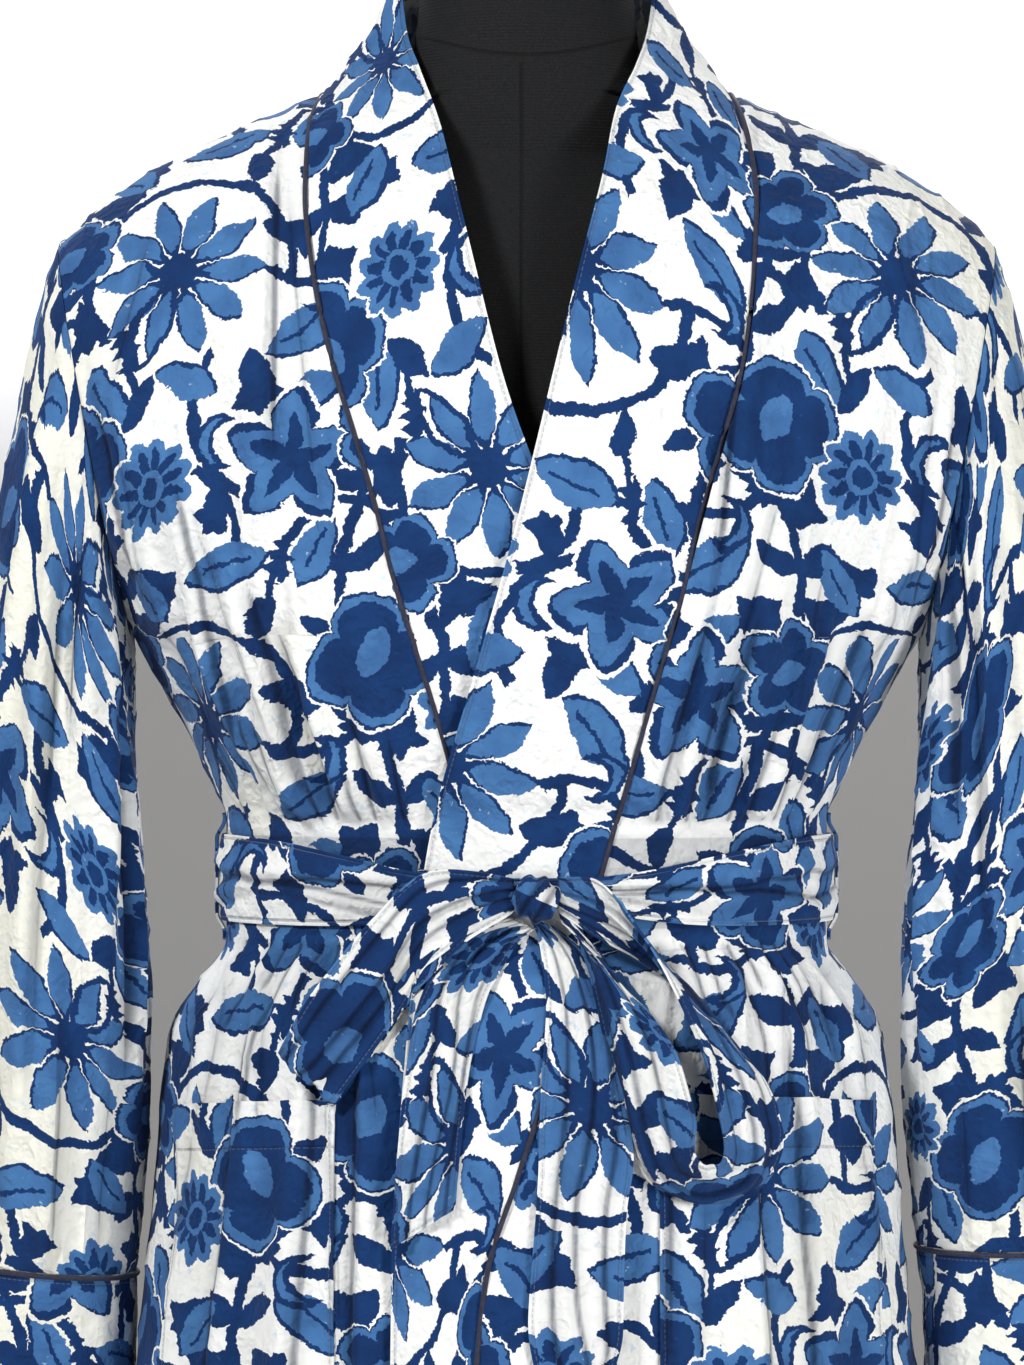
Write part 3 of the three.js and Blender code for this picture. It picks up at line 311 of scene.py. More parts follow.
# Creases that are too fine for the frame, in the same columns.
CREASES = {
    "left": [
        (132, 1480, 101, 1190, 4.5, -2.0), (152, 1300, 96, 1092, 4, -2.2),
        (118, 1180, 84, 1082, 3.5, 1.8), (176, 1250, 132, 1090, 5, 2.2),
        (214, 1215, 160, 1090, 4.5, -2.4), (226, 1260, 178, 1110, 4, 1.8),
        (238, 1340, 214, 1196, 5, -2.2), (206, 1440, 232, 1330, 6, 1.8),
        (186, 1180, 150, 1096, 3.5, 1.7), (84, 1008, 66, 905, 4, 2.2),
        (112, 1006, 96, 884, 4, -1.9), (140, 1004, 144, 900, 4, 2.4),
        (166, 1004, 190, 905, 4, -2.0), (100, 930, 92, 760, 5, 1.6),
        (184, 930, 205, 800, 6, 2.0), (48, 900, 44, 740, 5, -1.6), (230, 700, 246, 330, 9, -3),
        (92, 640, 96, 320, 9, 3), (160, 760, 180, 340, 10, -3.5),
    ],
    "right": [
        (142, 1478, 118, 1240, 5, -1.9), (196, 1270, 150, 1150, 4, -2.2),
        (178, 1230, 120, 1090, 4.5, 2.2), (150, 1200, 104, 1082, 3.5, -1.9),
        (222, 1240, 172, 1100, 5, 2.2), (212, 1200, 160, 1084, 3.5, -2.0),
        (244, 1330, 212, 1195, 5, -2.4), (214, 1430, 240, 1320, 6, 1.9),
        (96, 1130, 74, 1078, 3, 1.6), (92, 1008, 84, 900, 4, -2.2),
        (118, 1005, 110, 880, 4, 2.3), (146, 1004, 152, 890, 4, -2.2),
        (168, 1003, 188, 900, 4, 2.2), (110, 920, 104, 770, 5, 1.6),
        (190, 920, 214, 790, 6, -2.0), (226, 700, 244, 330, 9, 3), (100, 700, 104, 330, 9, -3),
    ],
    "back": [
        (20, 1300, 10, 1090, 5, -2.2), (60, 1280, 34, 1090, 5, 2.0),
        (110, 1330, 70, 1095, 5, -2.3), (150, 1300, 100, 1090, 5, 2.2),
        (204, 1290, 150, 1090, 5, -2.4), (228, 1250, 180, 1110, 4.5, 2.0),
        (240, 1340, 216, 1200, 5, -2.0), (22, 1004, 18, 860, 5, 2.2),
        (58, 1004, 60, 840, 5, -2.2), (92, 1004, 100, 860, 5, 2.2),
        (124, 1004, 136, 870, 5, -2.2), (160, 1004, 184, 880, 5, 2.2),
        (76, 820, 90, 320, 10, -3.5), (165, 800, 186, 320, 10, 3), (2, 820, 4, 330, 9, -3),
    ],
}

# Tucks, whose one flank is steep: the columns are those of the folds, and a width below 0 has the
# steep flank on the inner side.
TUCKS = {
    "left": [
        (131, 1500, 97, 1190, -12, 4.2), (100, 1215, 63, 1078, -11, 4.8),
        (138, 1215, 98, 1078, 10, 4.0), (176, 1205, 128, 1078, -11, 4.6),
        (206, 1210, 152, 1080, 10, 3.6), (246, 1330, 214, 1190, -12, 3.6),
        (86, 1010, 80, 735, 11, 4.4), (116, 1012, 130, 600, -13, 5.2),
        (146, 1010, 172, 690, 12, 4.6), (62, 700, 66, 305, 13, -4),
    ],
    "right": [
        (170, 1240, 121, 1076, 11, 5.2), (194, 1215, 149, 1100, -10, 4.4),
        (130, 1170, 96, 1078, -9, 3.8), (212, 1300, 158, 1096, 12, 4.2),
        (150, 1490, 150, 1270, 14, 3.0), (248, 1340, 212, 1190, -12, 3.6),
        (90, 1010, 96, 720, -11, 4.6), (121, 1012, 140, 620, 13, 5.2),
        (150, 1010, 184, 700, -12, 4.8), (70, 720, 78, 305, 13, -4),
    ],
    "back": [
        (14, 1330, 8, 1078, 13, 4.4), (52, 1350, 34, 1078, -13, 4.6),
        (100, 1380, 62, 1078, 13, 5.0), (146, 1330, 100, 1078, -12, 4.6),
        (196, 1290, 136, 1078, 12, 4.6), (18, 1012, 22, 600, -14, 5.0),
        (54, 1012, 66, 560, 14, 5.4), (92, 1012, 112, 620, -14, 5.2),
        (130, 1012, 156, 600, 13, 4.8),
    ],
}


def fold_line(row, x, z):
    """How far aside of a fold's line a place is, and how much of the fold there is there."""
    x0, z0, x1, z1 = row[:4]
    dx, dz = x1 - x0, z1 - z0
    length = math.hypot(dx, dz)
    t = ((x - x0) * dx + (z - z0) * dz) / length**2
    aside = ((x - x0) * dz - (z - z0) * dx) / length
    return aside, faded(t, -0.06, 0.3, 0.78, 0.3)


def fold_height(rows, x, z, profile=bell):
    height = 0
    for row in rows:
        aside, ends = fold_line(row, x, z)
        height = height + row[5] * ends * profile(aside / row[4])
    return height


NO_EDGE = 99.0  # for a place with no stitching or pleat near it
# The finish paints shade where these distances are small: at the feet of tucks, creases and gathers
# and beside the belt.
PLEAT_FOOT = 0.42  # from a tuck's line to the foot of its steep flank, in widths
LOST_FOOT = 7  # added to the distance where a fold has ended
CREASE_AWAY, GATHER_AWAY, BELT_AWAY = 1.1, 0.3, 1.6  # added where a foot is softer than a tuck's


def nearer(nearest_foot, away, ends):
    """The distance to the nearest foot, with one more foot that is lost where its fold ends."""
    return np.minimum(nearest_foot, away + LOST_FOOT * (1 - ends))


def body_pleats(kind, x, z):
    """The distance in mm to the foot of the nearest tuck or gather, to the nearest sharp crease, or
    to the belt's edge, where the finish paints shade.
    """
    feet = np.full(np.shape(x), NO_EDGE)
    for row in TUCKS[kind]:
        aside, ends = fold_line(row, x, z)
        feet = nearer(feet, np.abs(aside - PLEAT_FOOT * row[4]), ends)
    for row in CREASES[kind]:
        aside, ends = fold_line(row, x, z)
        feet = nearer(feet, np.abs(aside) + CREASE_AWAY, ends)
    for aside, spread, _, ends in gather_lines(kind, x, z):
        away = np.abs(aside - PLEAT_FOOT * spread) + GATHER_AWAY
        feet = nearer(feet, away, smooth(ends * 2))
    belt_edge = np.abs(z - BELT_MIDDLE) - (BELT_TOP - BELT_BOTTOM) / 2
    return np.minimum(feet, np.maximum(belt_edge, 0) + BELT_AWAY)


BODY_SEEDS = {"left": 3.0, "right": 11.0, "back": 23.0}


FOLD_GAIN, CREASE_GAIN, TUCK_GAIN = 1.5, 1.4, 1.6
CALM_HALF, CALM_FADE = 27, 22  # the belt presses the cloth flat, so far up and down
EDGE_CALM_FROM, EDGE_CALM_FADE = 40, 30  # the front edges lie flat under the bands
CLOTH_ROUND = 1.15  # cloth round the body for each mm of x


def calm_at(z, middle=BELT_MIDDLE):
    return smooth((np.abs(z - middle) - CALM_HALF) / CALM_FADE)


def relief(kind, x, z):
    """The height of the cloth as the robe hangs on the form, over the plain form, x counted from
    the centre to this side.
    """
    lift = wrap_lift(x, z) if kind == "left" else 0
    inner = 1 if kind == "back" else smooth((x - EDGE_CALM_FROM) / EDGE_CALM_FADE)
    large = gather_height(kind, x, z) + FOLD_GAIN * fold_height(FOLDS[kind], x, z)
    sharp = CREASE_GAIN * fold_height(CREASES[kind], x, z)
    sharp = sharp + TUCK_GAIN * fold_height(TUCKS[kind], x, z, steep)
    fine = sharp * inner + crumple(x * CLOTH_ROUND, z, BODY_SEEDS[kind])
    return lift + inner * large + calm_at(z) * fine


# ---- Cloth walls ----


def grid_normals(point, u, v, across, along, outside, closed):
    step = 1e-3
    if closed:
        u0, u1 = u - step, u + step
    else:
        u0, u1 = np.clip(u - step, 0, across), np.clip(u + step, 0, across)
    v0, v1 = np.clip(v - step, 0, along), np.clip(v + step, 0, along)
    n = unit(np.cross(point(u1, v) - point(u0, v), point(u, v1) - point(u, v0)))
    middle = n[n.shape[0] // 2, 0 if closed else n.shape[1] // 2]
    return n * np.sign(middle @ np.array(outside, float))


def keep_to(normals, plane, share):
    """Takes a plane's direction out of the normals, as far as share (0 to 1) says."""
    plane = np.array(plane, float)
    part = (normals @ plane)[..., None] * plane
    return unit(normals - part * np.asarray(share)[..., None])


def added_up(steps, axis):
    """Lengths from 0 along an axis of a grid, from the steps along it."""
    pad = [(0, 0), (0, 0)]
    pad[axis] = (1, 0)
    return np.pad(np.cumsum(steps, axis=axis), pad)


def lengths(points, axis):
    """Lengths along the grid's rows (axis 1) or columns (axis 0), from 0."""
    return added_up(np.linalg.norm(np.diff(points, axis=axis), axis=-1), axis)


COTTON = ["printed_cotton", "cotton_wrong_side"]
BOTH_SIDES = ["printed_cotton"]  # for strips that are folded with the print out
finishes = {}  # filled in by the finish section
CLOTH_SHARP, FORM_SHARP, METAL_SHARP = [math.radians(a) for a in (62, 40, 30)]


def linked(name, data):
    thing = bpy.data.objects.new(name, data)
    bpy.context.scene.collection.objects.link(thing)
    return thing


def dressed(name, mesh, slots, sharp_from):
    """A mesh as a piece: smooth up to its sharp edges, with its finishes."""
    mesh.polygons.foreach_set("use_smooth", np.ones(len(mesh.polygons), bool))
    mesh.set_sharp_from_angle(angle=sharp_from)
    for slot in slots:
        mesh.materials.append(finishes[slot])
    return linked(name, mesh)


def shell(name, outer, inner, maps, closed, finish=COTTON):
    """A closed wall between two grids of points in mm, with its UV maps by name, also in mm."""
    rows, columns = outer.shape[:2]
    spans = columns if closed else columns - 1
    vertices = np.concatenate([outer.reshape(-1, 3), inner.reshape(-1, 3)]) * MM
    under = rows * columns
    i, j = [a.ravel() for a in np.mgrid[0 : rows - 1, 0:spans]]

    def corner(row, column, side):
        vertex = row * columns + column % columns + side * under
        return np.stack([vertex, row * (spans + 1) + column])

    def quads(*places):
        """Faces through corners at (row, column, side), as (vertex or uv, corner, face)."""
        return np.stack([corner(*place) for place in places], axis=1)

    top = quads((i, j, 0), (i, j + 1, 0), (i + 1, j + 1, 0), (i + 1, j, 0))
    low = quads((i, j, 1), (i + 1, j, 1), (i + 1, j + 1, 1), (i, j + 1, 1))
    j = np.arange(spans)
    zero, last = j * 0, j * 0 + rows - 1
    rims = [
        quads((zero, j, 0), (zero, j, 1), (zero, j + 1, 1), (zero, j + 1, 0)),
        quads((last, j, 0), (last, j + 1, 0), (last, j + 1, 1), (last, j, 1)),
    ]
    if not closed:
        i = np.arange(rows - 1)
        zero, last = i * 0, i * 0 + spans
        rims += [
            quads((i, zero, 0), (i + 1, zero, 0), (i + 1, zero, 1), (i, zero, 1)),
            quads((i, last, 0), (i, last, 1), (i + 1, last, 1), (i + 1, last, 0)),
        ]
    faces = np.concatenate([top, low, *rims], axis=2).transpose(2, 1, 0)
    p = vertices[faces[:, :, 0]]
    volume = np.einsum("ij,ij->i", p[:, 0], np.cross(p[:, 1], p[:, 2])).sum()
    volume += np.einsum("ij,ij->i", p[:, 0], np.cross(p[:, 2], p[:, 3])).sum()
    if volume < 0:
        faces = faces[:, ::-1]
    mesh = bpy.data.meshes.new(name)
    mesh.vertices.add(len(vertices))
    mesh.vertices.foreach_set("co", vertices.ravel())
    mesh.loops.add(faces.shape[0] * 4)
    mesh.loops.foreach_set("vertex_index", faces[:, :, 0].ravel())
    mesh.polygons.add(len(faces))
    mesh.polygons.foreach_set("loop_start", np.arange(len(faces)) * 4)
    wrong_side = np.zeros(len(faces), np.int32)
    wrong_side[top.shape[2] : top.shape[2] + low.shape[2]] = len(finish) - 1
    mesh.update(calc_edges=True)
    mesh.polygons.foreach_set("material_index", wrong_side)
    for layer, uv in maps.items():
        values = uv.reshape(-1, 2)[faces[:, :, 1]].reshape(-1, 2) * MM
        mesh.uv_layers.new(name=layer).data.foreach_set("uv", values.ravel())
    mesh.validate()
    return dressed(name, mesh, finish, CLOTH_SHARP)


HEM_LINE = 24.6  # the extra way in to the stitching of a turned-down hem, for the side "h"


def edge_map(across, along, sides="lrtb"):
    """Distances in mm to the nearest stitched side edge and end, from lengths across and along."""
    far = np.full(across.shape, NO_EDGE)
    left = across if "l" in sides else far
    right = across.max(axis=1, keepdims=True) - across if "r" in sides else far
    bottom = along if "b" in sides else far
    top = along.max(axis=0, keepdims=True) - along if "t" in sides or "h" in sides else far
    if "h" in sides:
        top = top - HEM_LINE
    return np.stack([np.minimum(left, right), np.minimum(bottom, top)], axis=-1)


def full_columns(a, closed):
    """The grid with its first column again at the end, where a wall is closed round."""
    return np.concatenate([a, a[:, :1]], axis=1) if closed else a


def wall(
    name, point, across, along, fine, outside, lift=None, planes=None, closed=False,
    thickness=CLOTH, uv=None, stitched="", print_at=(0, 0), turned=False, finish=COTTON,
    pleats=None,
):
    """A cloth wall over point(u, v) with u from 0 to across and v from 0 to along.

    fine is how many steps there are to each unit of u and v. lift(base, u, v) moves the outside
    out. planes(u, v, normals) keeps the end faces in their planes. uv(base, u, v) gives the place
    on the cloth in mm, print_at moves the print and turned puts it upside down. pleats(base, u, v)
    gives the distance in mm to the nearest pleat line.
    """
    columns, rows = int(round(across * fine[0])), int(round(along * fine[1]))
    us = np.linspace(0, across, columns + 1)[: columns if closed else None]
    u, v = np.meshgrid(us, np.linspace(0, along, rows + 1))
    base = point(u, v)
    n = grid_normals(point, u, v, across, along, outside, closed)
    if planes:
        n = planes(u, v, n)
    top = base + n * np.asarray(lift(base, u, v) if lift else 0.0)[..., None]
    whole = full_columns(base, closed)
    across_mm, along_mm = lengths(whole, 1), lengths(whole, 0)
    all_u, all_v = np.meshgrid(np.linspace(0, across, whole.shape[1]), v[:, 0])
    if uv:
        place = uv(whole, all_u, all_v)
    else:
        place = np.stack([across_mm, along_mm], axis=-1)
    if turned:
        place = -place
    place = place + np.array(print_at, float)
    # the distance to the nearest pleat foot, where the cotton finish paints shade
    pleat = pleats(whole, all_u, all_v) if pleats else np.full(all_u.shape, NO_EDGE)
    maps = {
        "cloth": place,
        "edge": edge_map(across_mm, along_mm, stitched),
        "pleat": np.stack([pleat, 0 * pleat], axis=-1),
    }
    return shell(name, top, top - n * thickness, maps, closed, finish)


# ---- Panels ----

ROW_HEIGHTS = np.array([
    HEM_Z, 395, 490, 585, 675, 755, 825, 880, 925, 960, 986, 1006, BELT_BOTTOM, 1045, BELT_TOP,
    1086, 1108, 1142, UNDERARM_Z,
], float)
LOWER_ROWS = len(ROW_HEIGHTS) - 1
UPPER_ROWS = 10
SETTLING_ROUNDS = 12  # a place's height and the panel's top at it depend on each other
PANEL_ROWS = LOWER_ROWS + UPPER_ROWS


def row_height(row, top_z):
    low = np.interp(row, np.arange(LOWER_ROWS + 1), ROW_HEIGHTS)
    share = (1 - np.cos(math.pi * np.clip((row - LOWER_ROWS) / UPPER_ROWS, 0, 1))) / 2
    return np.where(row <= LOWER_ROWS, low, lerp(UNDERARM_Z, top_z, share))


def neck_seam_z(x):
    return lerp(BACK_NECK_Z, SHOULDER.at(NECK_SEAM_X, "z"), (x / NECK_SEAM_X) ** 2)


def panel_top(face, x):
    shoulder = SHOULDER.at(x, "z")
    edge_x = NECK_SEAM_X + SEAM_ROOM
    if face == FRONT:
        return shoulder
    away = 1 - np.clip(x / edge_x, 0, 1) ** 8
    under_band = np.minimum(shoulder, neck_seam_z(np.minimum(x, edge_x)) - BACK_EDGE_DROP * away)
    return np.where(x >= edge_x, shoulder, under_band)


def panel_point(face, inner_x, share, row):
    start = lerp(inner_x(np.float64(UNDERARM_Z)), ARMHOLE_TOP_X, share)
    z = row_height(row, panel_top(face, start))
    for _ in range(SETTLING_ROUNDS):
        width, end_angle = section(face, z)
        angle = lerp(np.arcsin(np.clip(inner_x(z) / width, -1, 1)), end_angle, share)
        z = row_height(row, panel_top(face, np.maximum(0, width * np.sin(angle))))
    return body_at(face, angle, z)


def panel_planes(side, share_of, columns):
    """Keeps a panel's side, armhole and shoulder edges in their planes."""

    def planes(u, v, n):
        at_side = smooth(1 - (1 - share_of(u)) * columns)
        high = smooth((v - LOWER_ROWS) * 2)
        for s in (-1, 1):
            here = (np.sign(u - columns) == s) if side == 0 else (side == s)
            n = keep_to(n, ARMHOLE_AXIS * [s, 1, 1], at_side * high * here)
        n = keep_to(n, (0, 1, 0), at_side * (1 - high))
        return keep_to(n, (0, 1, 0), smooth(v - PANEL_ROWS + 1))

    return planes


def body_uv(side):
    """The cloth's place on the body: round from the centre line, and up the cloth."""

    def uv(base, u, v):
        x, y, z = base[..., 0], base[..., 1], base[..., 2]
        arc = added_up(np.hypot(np.diff(x, axis=1), np.diff(y, axis=1)), 1)
        height = added_up(np.hypot(np.diff(y, axis=0), np.diff(z, axis=0)), 0) + HEM_Z
        centre = arc.shape[1] // 2
        around = side * arc + x[:, :1] if side else arc[:, centre : centre + 1] - arc
        return np.stack([around, height], axis=-1)

    return uv


SEAM_DIP = 0.7  # how far the cloth sinks at a sewn edge
PIPED_WIDTH, PIPED_SHARE = 2.5, 0.7  # the same beside a piping
TOP_SEAM_WIDTH = 1.6
# About how wide a step of each grid is, in mm, for the distance to a seam.
FRONT_EDGE_STEP, FRONT_SIDE_STEP, BACK_SIDE_STEP, TOP_STEP = 14, 18, 24, 6


def sewn(distance, width=2.2):
    return -SEAM_DIP * bell(distance / width)


FRONT_COLUMNS = 12
BACK_HALF = 10
SIDES = {"left": 1, "right": -1}


def from_centre(kind, base):
    """x counted from the centre to a panel's own side."""
    return np.abs(base[..., 0]) if kind == "back" else SIDES[kind] * base[..., 0]


def relief_on(kind, base):
    return relief(kind, from_centre(kind, base), base[..., 2])


def pleats_on(kind):
    return lambda base, u, v: body_pleats(kind, from_centre(kind, base), base[..., 2])


def top_seam(v):
    return sewn((PANEL_ROWS - v) * TOP_STEP, TOP_SEAM_WIDTH)


PRINT_AT = {"left": (-57, 122), "right": (-15, 122), "back": (0, 40)}


def front_panel(kind):
    side = SIDES[kind]

    def inner_x(z):
        return BANDS[kind].at(z, "seam_x") + SEAM_ROOM

    def lift(base, u, v):
        seams = sewn((FRONT_COLUMNS - u) * FRONT_SIDE_STEP) + top_seam(v)
        piped = sewn(u * FRONT_EDGE_STEP, PIPED_WIDTH) * PIPED_SHARE
        return relief_on(kind, base) + seams + piped

    return wall(
        f"front_panel_{kind}",
        lambda u, v: mirrored(side, panel_point(FRONT, inner_x, u / FRONT_COLUMNS, v)),
        FRONT_COLUMNS, PANEL_ROWS, (12, 9), (0, -1, 0), lift,
        panel_planes(side, lambda u: u / FRONT_COLUMNS, FRONT_COLUMNS),
        uv=body_uv(side), stitched="b", print_at=PRINT_AT[kind], pleats=pleats_on(kind),
    )


def back_panel():
    def share(u):
        return np.abs(u - BACK_HALF) / BACK_HALF

    def point(u, v):
        side = np.where(u < BACK_HALF, -1, 1)[..., None]
        p = panel_point(BACK, lambda z: z * 0.0, share(u), v)
        return p * np.concatenate([side, side * 0 + 1, side * 0 + 1], axis=-1)

    def lift(base, u, v):
        edge = (BACK_HALF - np.abs(u - BACK_HALF)) * BACK_SIDE_STEP
        return relief_on("back", base) + sewn(edge) + top_seam(v)

    return wall(
        "back_panel", point, 2 * BACK_HALF, PANEL_ROWS, (7, 9), (0, 1, 0), lift,
        panel_planes(0, share, BACK_HALF), uv=body_uv(0), stitched="b",
        print_at=PRINT_AT["back"], pleats=pleats_on("back"),
    )


# ---- The band and its piping ----

BANDS = {
    "left": Table("seam_z seam_x edge_x edge_z", [
        (300, -40, -85, 300), (610, -33, -79, 610), (765, -29, -76, 765), (835, -21, -75, 840),
        (885, -4, -72, 893), (940, 13, -67, 958), (1000, 28, -62, 1020), (1060, 44, -52, 1085),
        (1139, 66, -29, 1168), (1208, 86, -10, 1236), (1270, 101, 6, 1300),
        (1335, 121, 26, 1384), (1390, 129, 42, 1446), (1440, 132, 51, 1492),
        (1485, 127, 66, 1528), (1504, 122, 73, 1553), (1509.5, 120, 76, 1582),
    ]),
    "right": Table("seam_z seam_x edge_x edge_z", [
        (300, -30, -106, 300), (610, -22, -101, 610), (765, -16, -97, 765), (835, -10, -94, 838),
        (900, 2, -88, 908), (960, 14, -80, 972), (1040, 28, -68, 1062), (1105, 42, -50, 1135),
        (1156, 56, -38, 1190), (1212, 74, -22, 1246), (1275, 90, 4, 1303), (1342, 111, 26, 1383),
        (1405, 124, 42, 1450), (1448, 128, 53, 1494), (1485, 127, 65, 1527),
        (1504, 122, 72, 1550), (1509.5, 120, 75, 1582),
    ]),
}
NECK_EDGE_DEPTH = Table("seam_z y", [(1440, -72), (1485, -38), (1504, -10), (1509.5, 12)])
# Round the back of the neck: the seam's x, and the free edge beside it.
BACK_NECK = np.array([
    (109, 73, 30, 1588), (95, 66, 43, 1591), (64, 46, 58, 1592), (32, 23, 66, 1590),
    (0.45, 0.45, 69, 1588),
])
BAND_ROWS = PANEL_ROWS + len(BACK_NECK)
BAND_ACROSS = 5
STANDS_FROM_ROW = PANEL_ROWS - 5
BAND_WIDTH, BAND_ROW_STEP = 98, 42
BAND_CALM_Z = 1045


def band_rails(kind):
    """Smooth tables of the band's seam, free edge and flatness, whose key is the row."""
    rows = []
    for row in range(PANEL_ROWS + 1):
        seam_z = float(row_height(np.float64(row), SHOULDER.at(NECK_SEAM_X, "z")))
        seam_x, edge_x, edge_z = [
            float(BANDS[kind].at(seam_z, c)) for c in ("seam_x", "edge_x", "edge_z")
        ]
        flat = float(1 - smooth((row - STANDS_FROM_ROW) / 3))
        edge_y = lerp(float(NECK_EDGE_DEPTH.at(seam_z, "y")), float(front_y(edge_x, edge_z)), flat)
        rows.append((seam_x, float(front_y(seam_x, seam_z)), seam_z, edge_x, edge_y, edge_z, flat))
    for seam_x, edge_x, edge_y, edge_z in BACK_NECK:
        seam_z = float(neck_seam_z(seam_x))
        seam = body_at(BACK, angle_at(BACK, seam_x, seam_z), seam_z)
        rows.append((*seam, edge_x, edge_y, edge_z, 0))
    return stations("sx sy sz fx fy fz flat", rows)


RAILS = {kind: band_rails(kind) for kind in SIDES}


def band_point(kind, share, row, room=0.0):
    rails = RAILS[kind]
    seam = xyz(*[rails.at(row, c) for c in ("sx", "sy", "sz")])
    free = xyz(*[rails.at(row, c) for c in ("fx", "fy", "fz")])
    width = np.linalg.norm(free - seam, axis=-1)
    p = lerp(seam, free, lerp(room / width, 1, share)[..., None])
    flat = rails.at(row, "flat")
    on_body = front_y(p[..., 0], p[..., 2])
    p[..., 1] = np.where(flat > 0.001, lerp(p[..., 1], on_body, flat), p[..., 1])
    return p


def band_lift(kind, p):
    if kind == "right":
        return np.zeros(p.shape[:-1])
    return np.where(p[..., 1] < 0, wrap_lift(p[..., 0], p[..., 2]), 0)


# Soft places along each band: row, share across, reach in rows and in share, and height.
BAND_CREASES = {
    "left": [
        (15.6, 0.5, 0.8, 0.9, 1.4), (17.5, 0.2, 1.0, 0.4, -1.3), (19.5, 0.7, 1.5, 0.35, 1.4),
        (22.0, 0.3, 1.6, 0.4, -1.2), (24.0, 0.6, 1.2, 0.3, 1.6), (25.6, 0.45, 1.2, 0.2, -2.0),
        (27.5, 0.5, 1.4, 0.25, -2.2), (8, 0.5, 3, 0.4, 1.6), (4, 0.3, 3, 0.4, -1.4),
    ],
    "right": [
        (15.4, 0.5, 0.7, 0.9, 1.5), (17.0, 0.7, 1.1, 0.4, 1.3), (19.0, 0.3, 1.4, 0.35, -1.4),
        (21.5, 0.6, 1.7, 0.4, 1.3), (23.6, 0.35, 1.2, 0.3, -1.5), (25.3, 0.5, 1.3, 0.2, -1.8),
        (27.5, 0.5, 1.4, 0.25, -2.2), (6, 0.6, 3, 0.4, 1.6), (2.5, 0.4, 2, 0.4, -1.2),
    ],
}


def band(kind):
    side = SIDES[kind]

    def lift(base, u, v):
        p = mirrored(side, base)
        share = u / BAND_ACROSS
        height = band_lift(kind, p) + sewn(share * 95, PIPED_WIDTH) * PIPED_SHARE
        soft = 0.8 * crumple(share * 100 + 300, v * BAND_ROW_STEP, BODY_SEEDS[kind] + 40)
        for row, at, reach, wide, rise in BAND_CREASES[kind]:
            soft = soft + rise * bell((v - row) / reach) * bell((share - at) / wide)
        return height + soft * np.where(v < PANEL_ROWS, calm_at(p[..., 2], BAND_CALM_Z), 1)

    def planes(u, v, n):
        return keep_to(n, (1, 0, 0), smooth(v - BAND_ROWS + 1))

    return wall(
        f"front_band_{kind}",
        lambda u, v: mirrored(side, band_point(kind, u / BAND_ACROSS, v, SEAM_ROOM)),
        BAND_ACROSS, BAND_ROWS, (8, 9), (0, -1, 0), lift, planes,
        stitched="rb", print_at={"left": (70, 47), "right": (87, 87)}[kind], turned=True,
        uv=lambda base, u, v: np.stack(
            [side * (u / BAND_ACROSS) * BAND_WIDTH, lengths(base, 0)[:, :1] + u * 0], axis=-1
        ),
    )


def ringed_mesh(name, rings, closed=False):
    """A closed mesh through rings of points in mm, with its faces turned outwards."""
    count, sides = rings.shape[:2]
    faces = []
    for i in range(count if closed else count - 1):
        a, b = i * sides, ((i + 1) % count) * sides
        faces += [(a + k, a + (k + 1) % sides, b + (k + 1) % sides, b + k) for k in range(sides)]
    if not closed:
        faces.append(tuple(range(sides))[::-1])
        faces.append(tuple((count - 1) * sides + k for k in range(sides)))
    mesh = bpy.data.meshes.new(name)
    mesh.from_pydata((rings.reshape(-1, 3) * MM).tolist(), [], faces)
    work = bmesh.new()
    work.from_mesh(mesh)
    bmesh.ops.recalc_face_normals(work, faces=work.faces)
    if work.calc_volume(signed=True) < 0:
        bmesh.ops.reverse_faces(work, faces=work.faces)
    work.to_mesh(mesh)
    work.free()
    return mesh


CORD_SIDES = 10


def cord(name, points, closed=False):
    """A piping's round cord through points in mm, with its length in its cloth map."""
    if closed:
        along = unit(np.roll(points, -1, axis=0) - np.roll(points, 1, axis=0))
    else:
        along = unit(np.gradient(points, axis=0))
    right = np.cross(along, (0, 0, 1.0))
    upright = np.linalg.norm(right, axis=1) < 0.3
    right[upright] = np.cross(along, (0, 1.0, 0))[upright]
    right = unit(right)
    up = np.cross(right, along)
    turn = np.linspace(0, 2 * math.pi, CORD_SIDES, endpoint=False)[None, :, None]
    rings = points[:, None] + PIPING_RADIUS * (
        np.cos(turn) * right[:, None] + np.sin(turn) * up[:, None]
    )
    mesh = ringed_mesh(name, rings, closed)
    length = np.concatenate([[0], np.cumsum(np.linalg.norm(np.diff(points, axis=0), axis=1))])
    layer = mesh.uv_layers.new(name="cloth")
    for loop in mesh.loops:
        ring, place = divmod(loop.vertex_index, CORD_SIDES)
        layer.data[loop.index].uv = (place * MM, length[ring] * MM)
    return dressed(name, mesh, ["navy_piping"], CLOTH_SHARP)


def band_piping(kind):
    side = SIDES[kind]
    u, v = np.meshgrid([0.0], np.linspace(0, BAND_ROWS, BAND_ROWS * 8 + 1))

    def point(u, v):
        return mirrored(side, band_point(kind, u / BAND_ACROSS, v))

    lift = band_lift(kind, band_point(kind, u * 0, v)) - 0.2 * PIPING_RADIUS
    n = grid_normals(point, u, v, BAND_ACROSS, BAND_ROWS, (0, -1, 0), False)
    return cord(f"band_cord_{kind}", (point(u, v) + n * lift[..., None])[:, 0])


# ---- Sleeves and cuffs ----

SLEEVE = stations("inner_x inner_z outer_x outer_z depth", [
    (233, 1188, 277, 1420, 75), (233, 1158, 291, 1372, 76), (233, 1122, 303, 1312, 76),
    (230, 1078, 316, 1240, 75), (225, 1030, 327, 1160, 74), (223, 978, 337, 1062, 72),
    (224, 915, 344, 955, 69), (228, 866, 346, 880, 65), (231, 828, 346, 830, 62),
])
SLEEVE_END = 8
SLEEVE_AROUND = 24
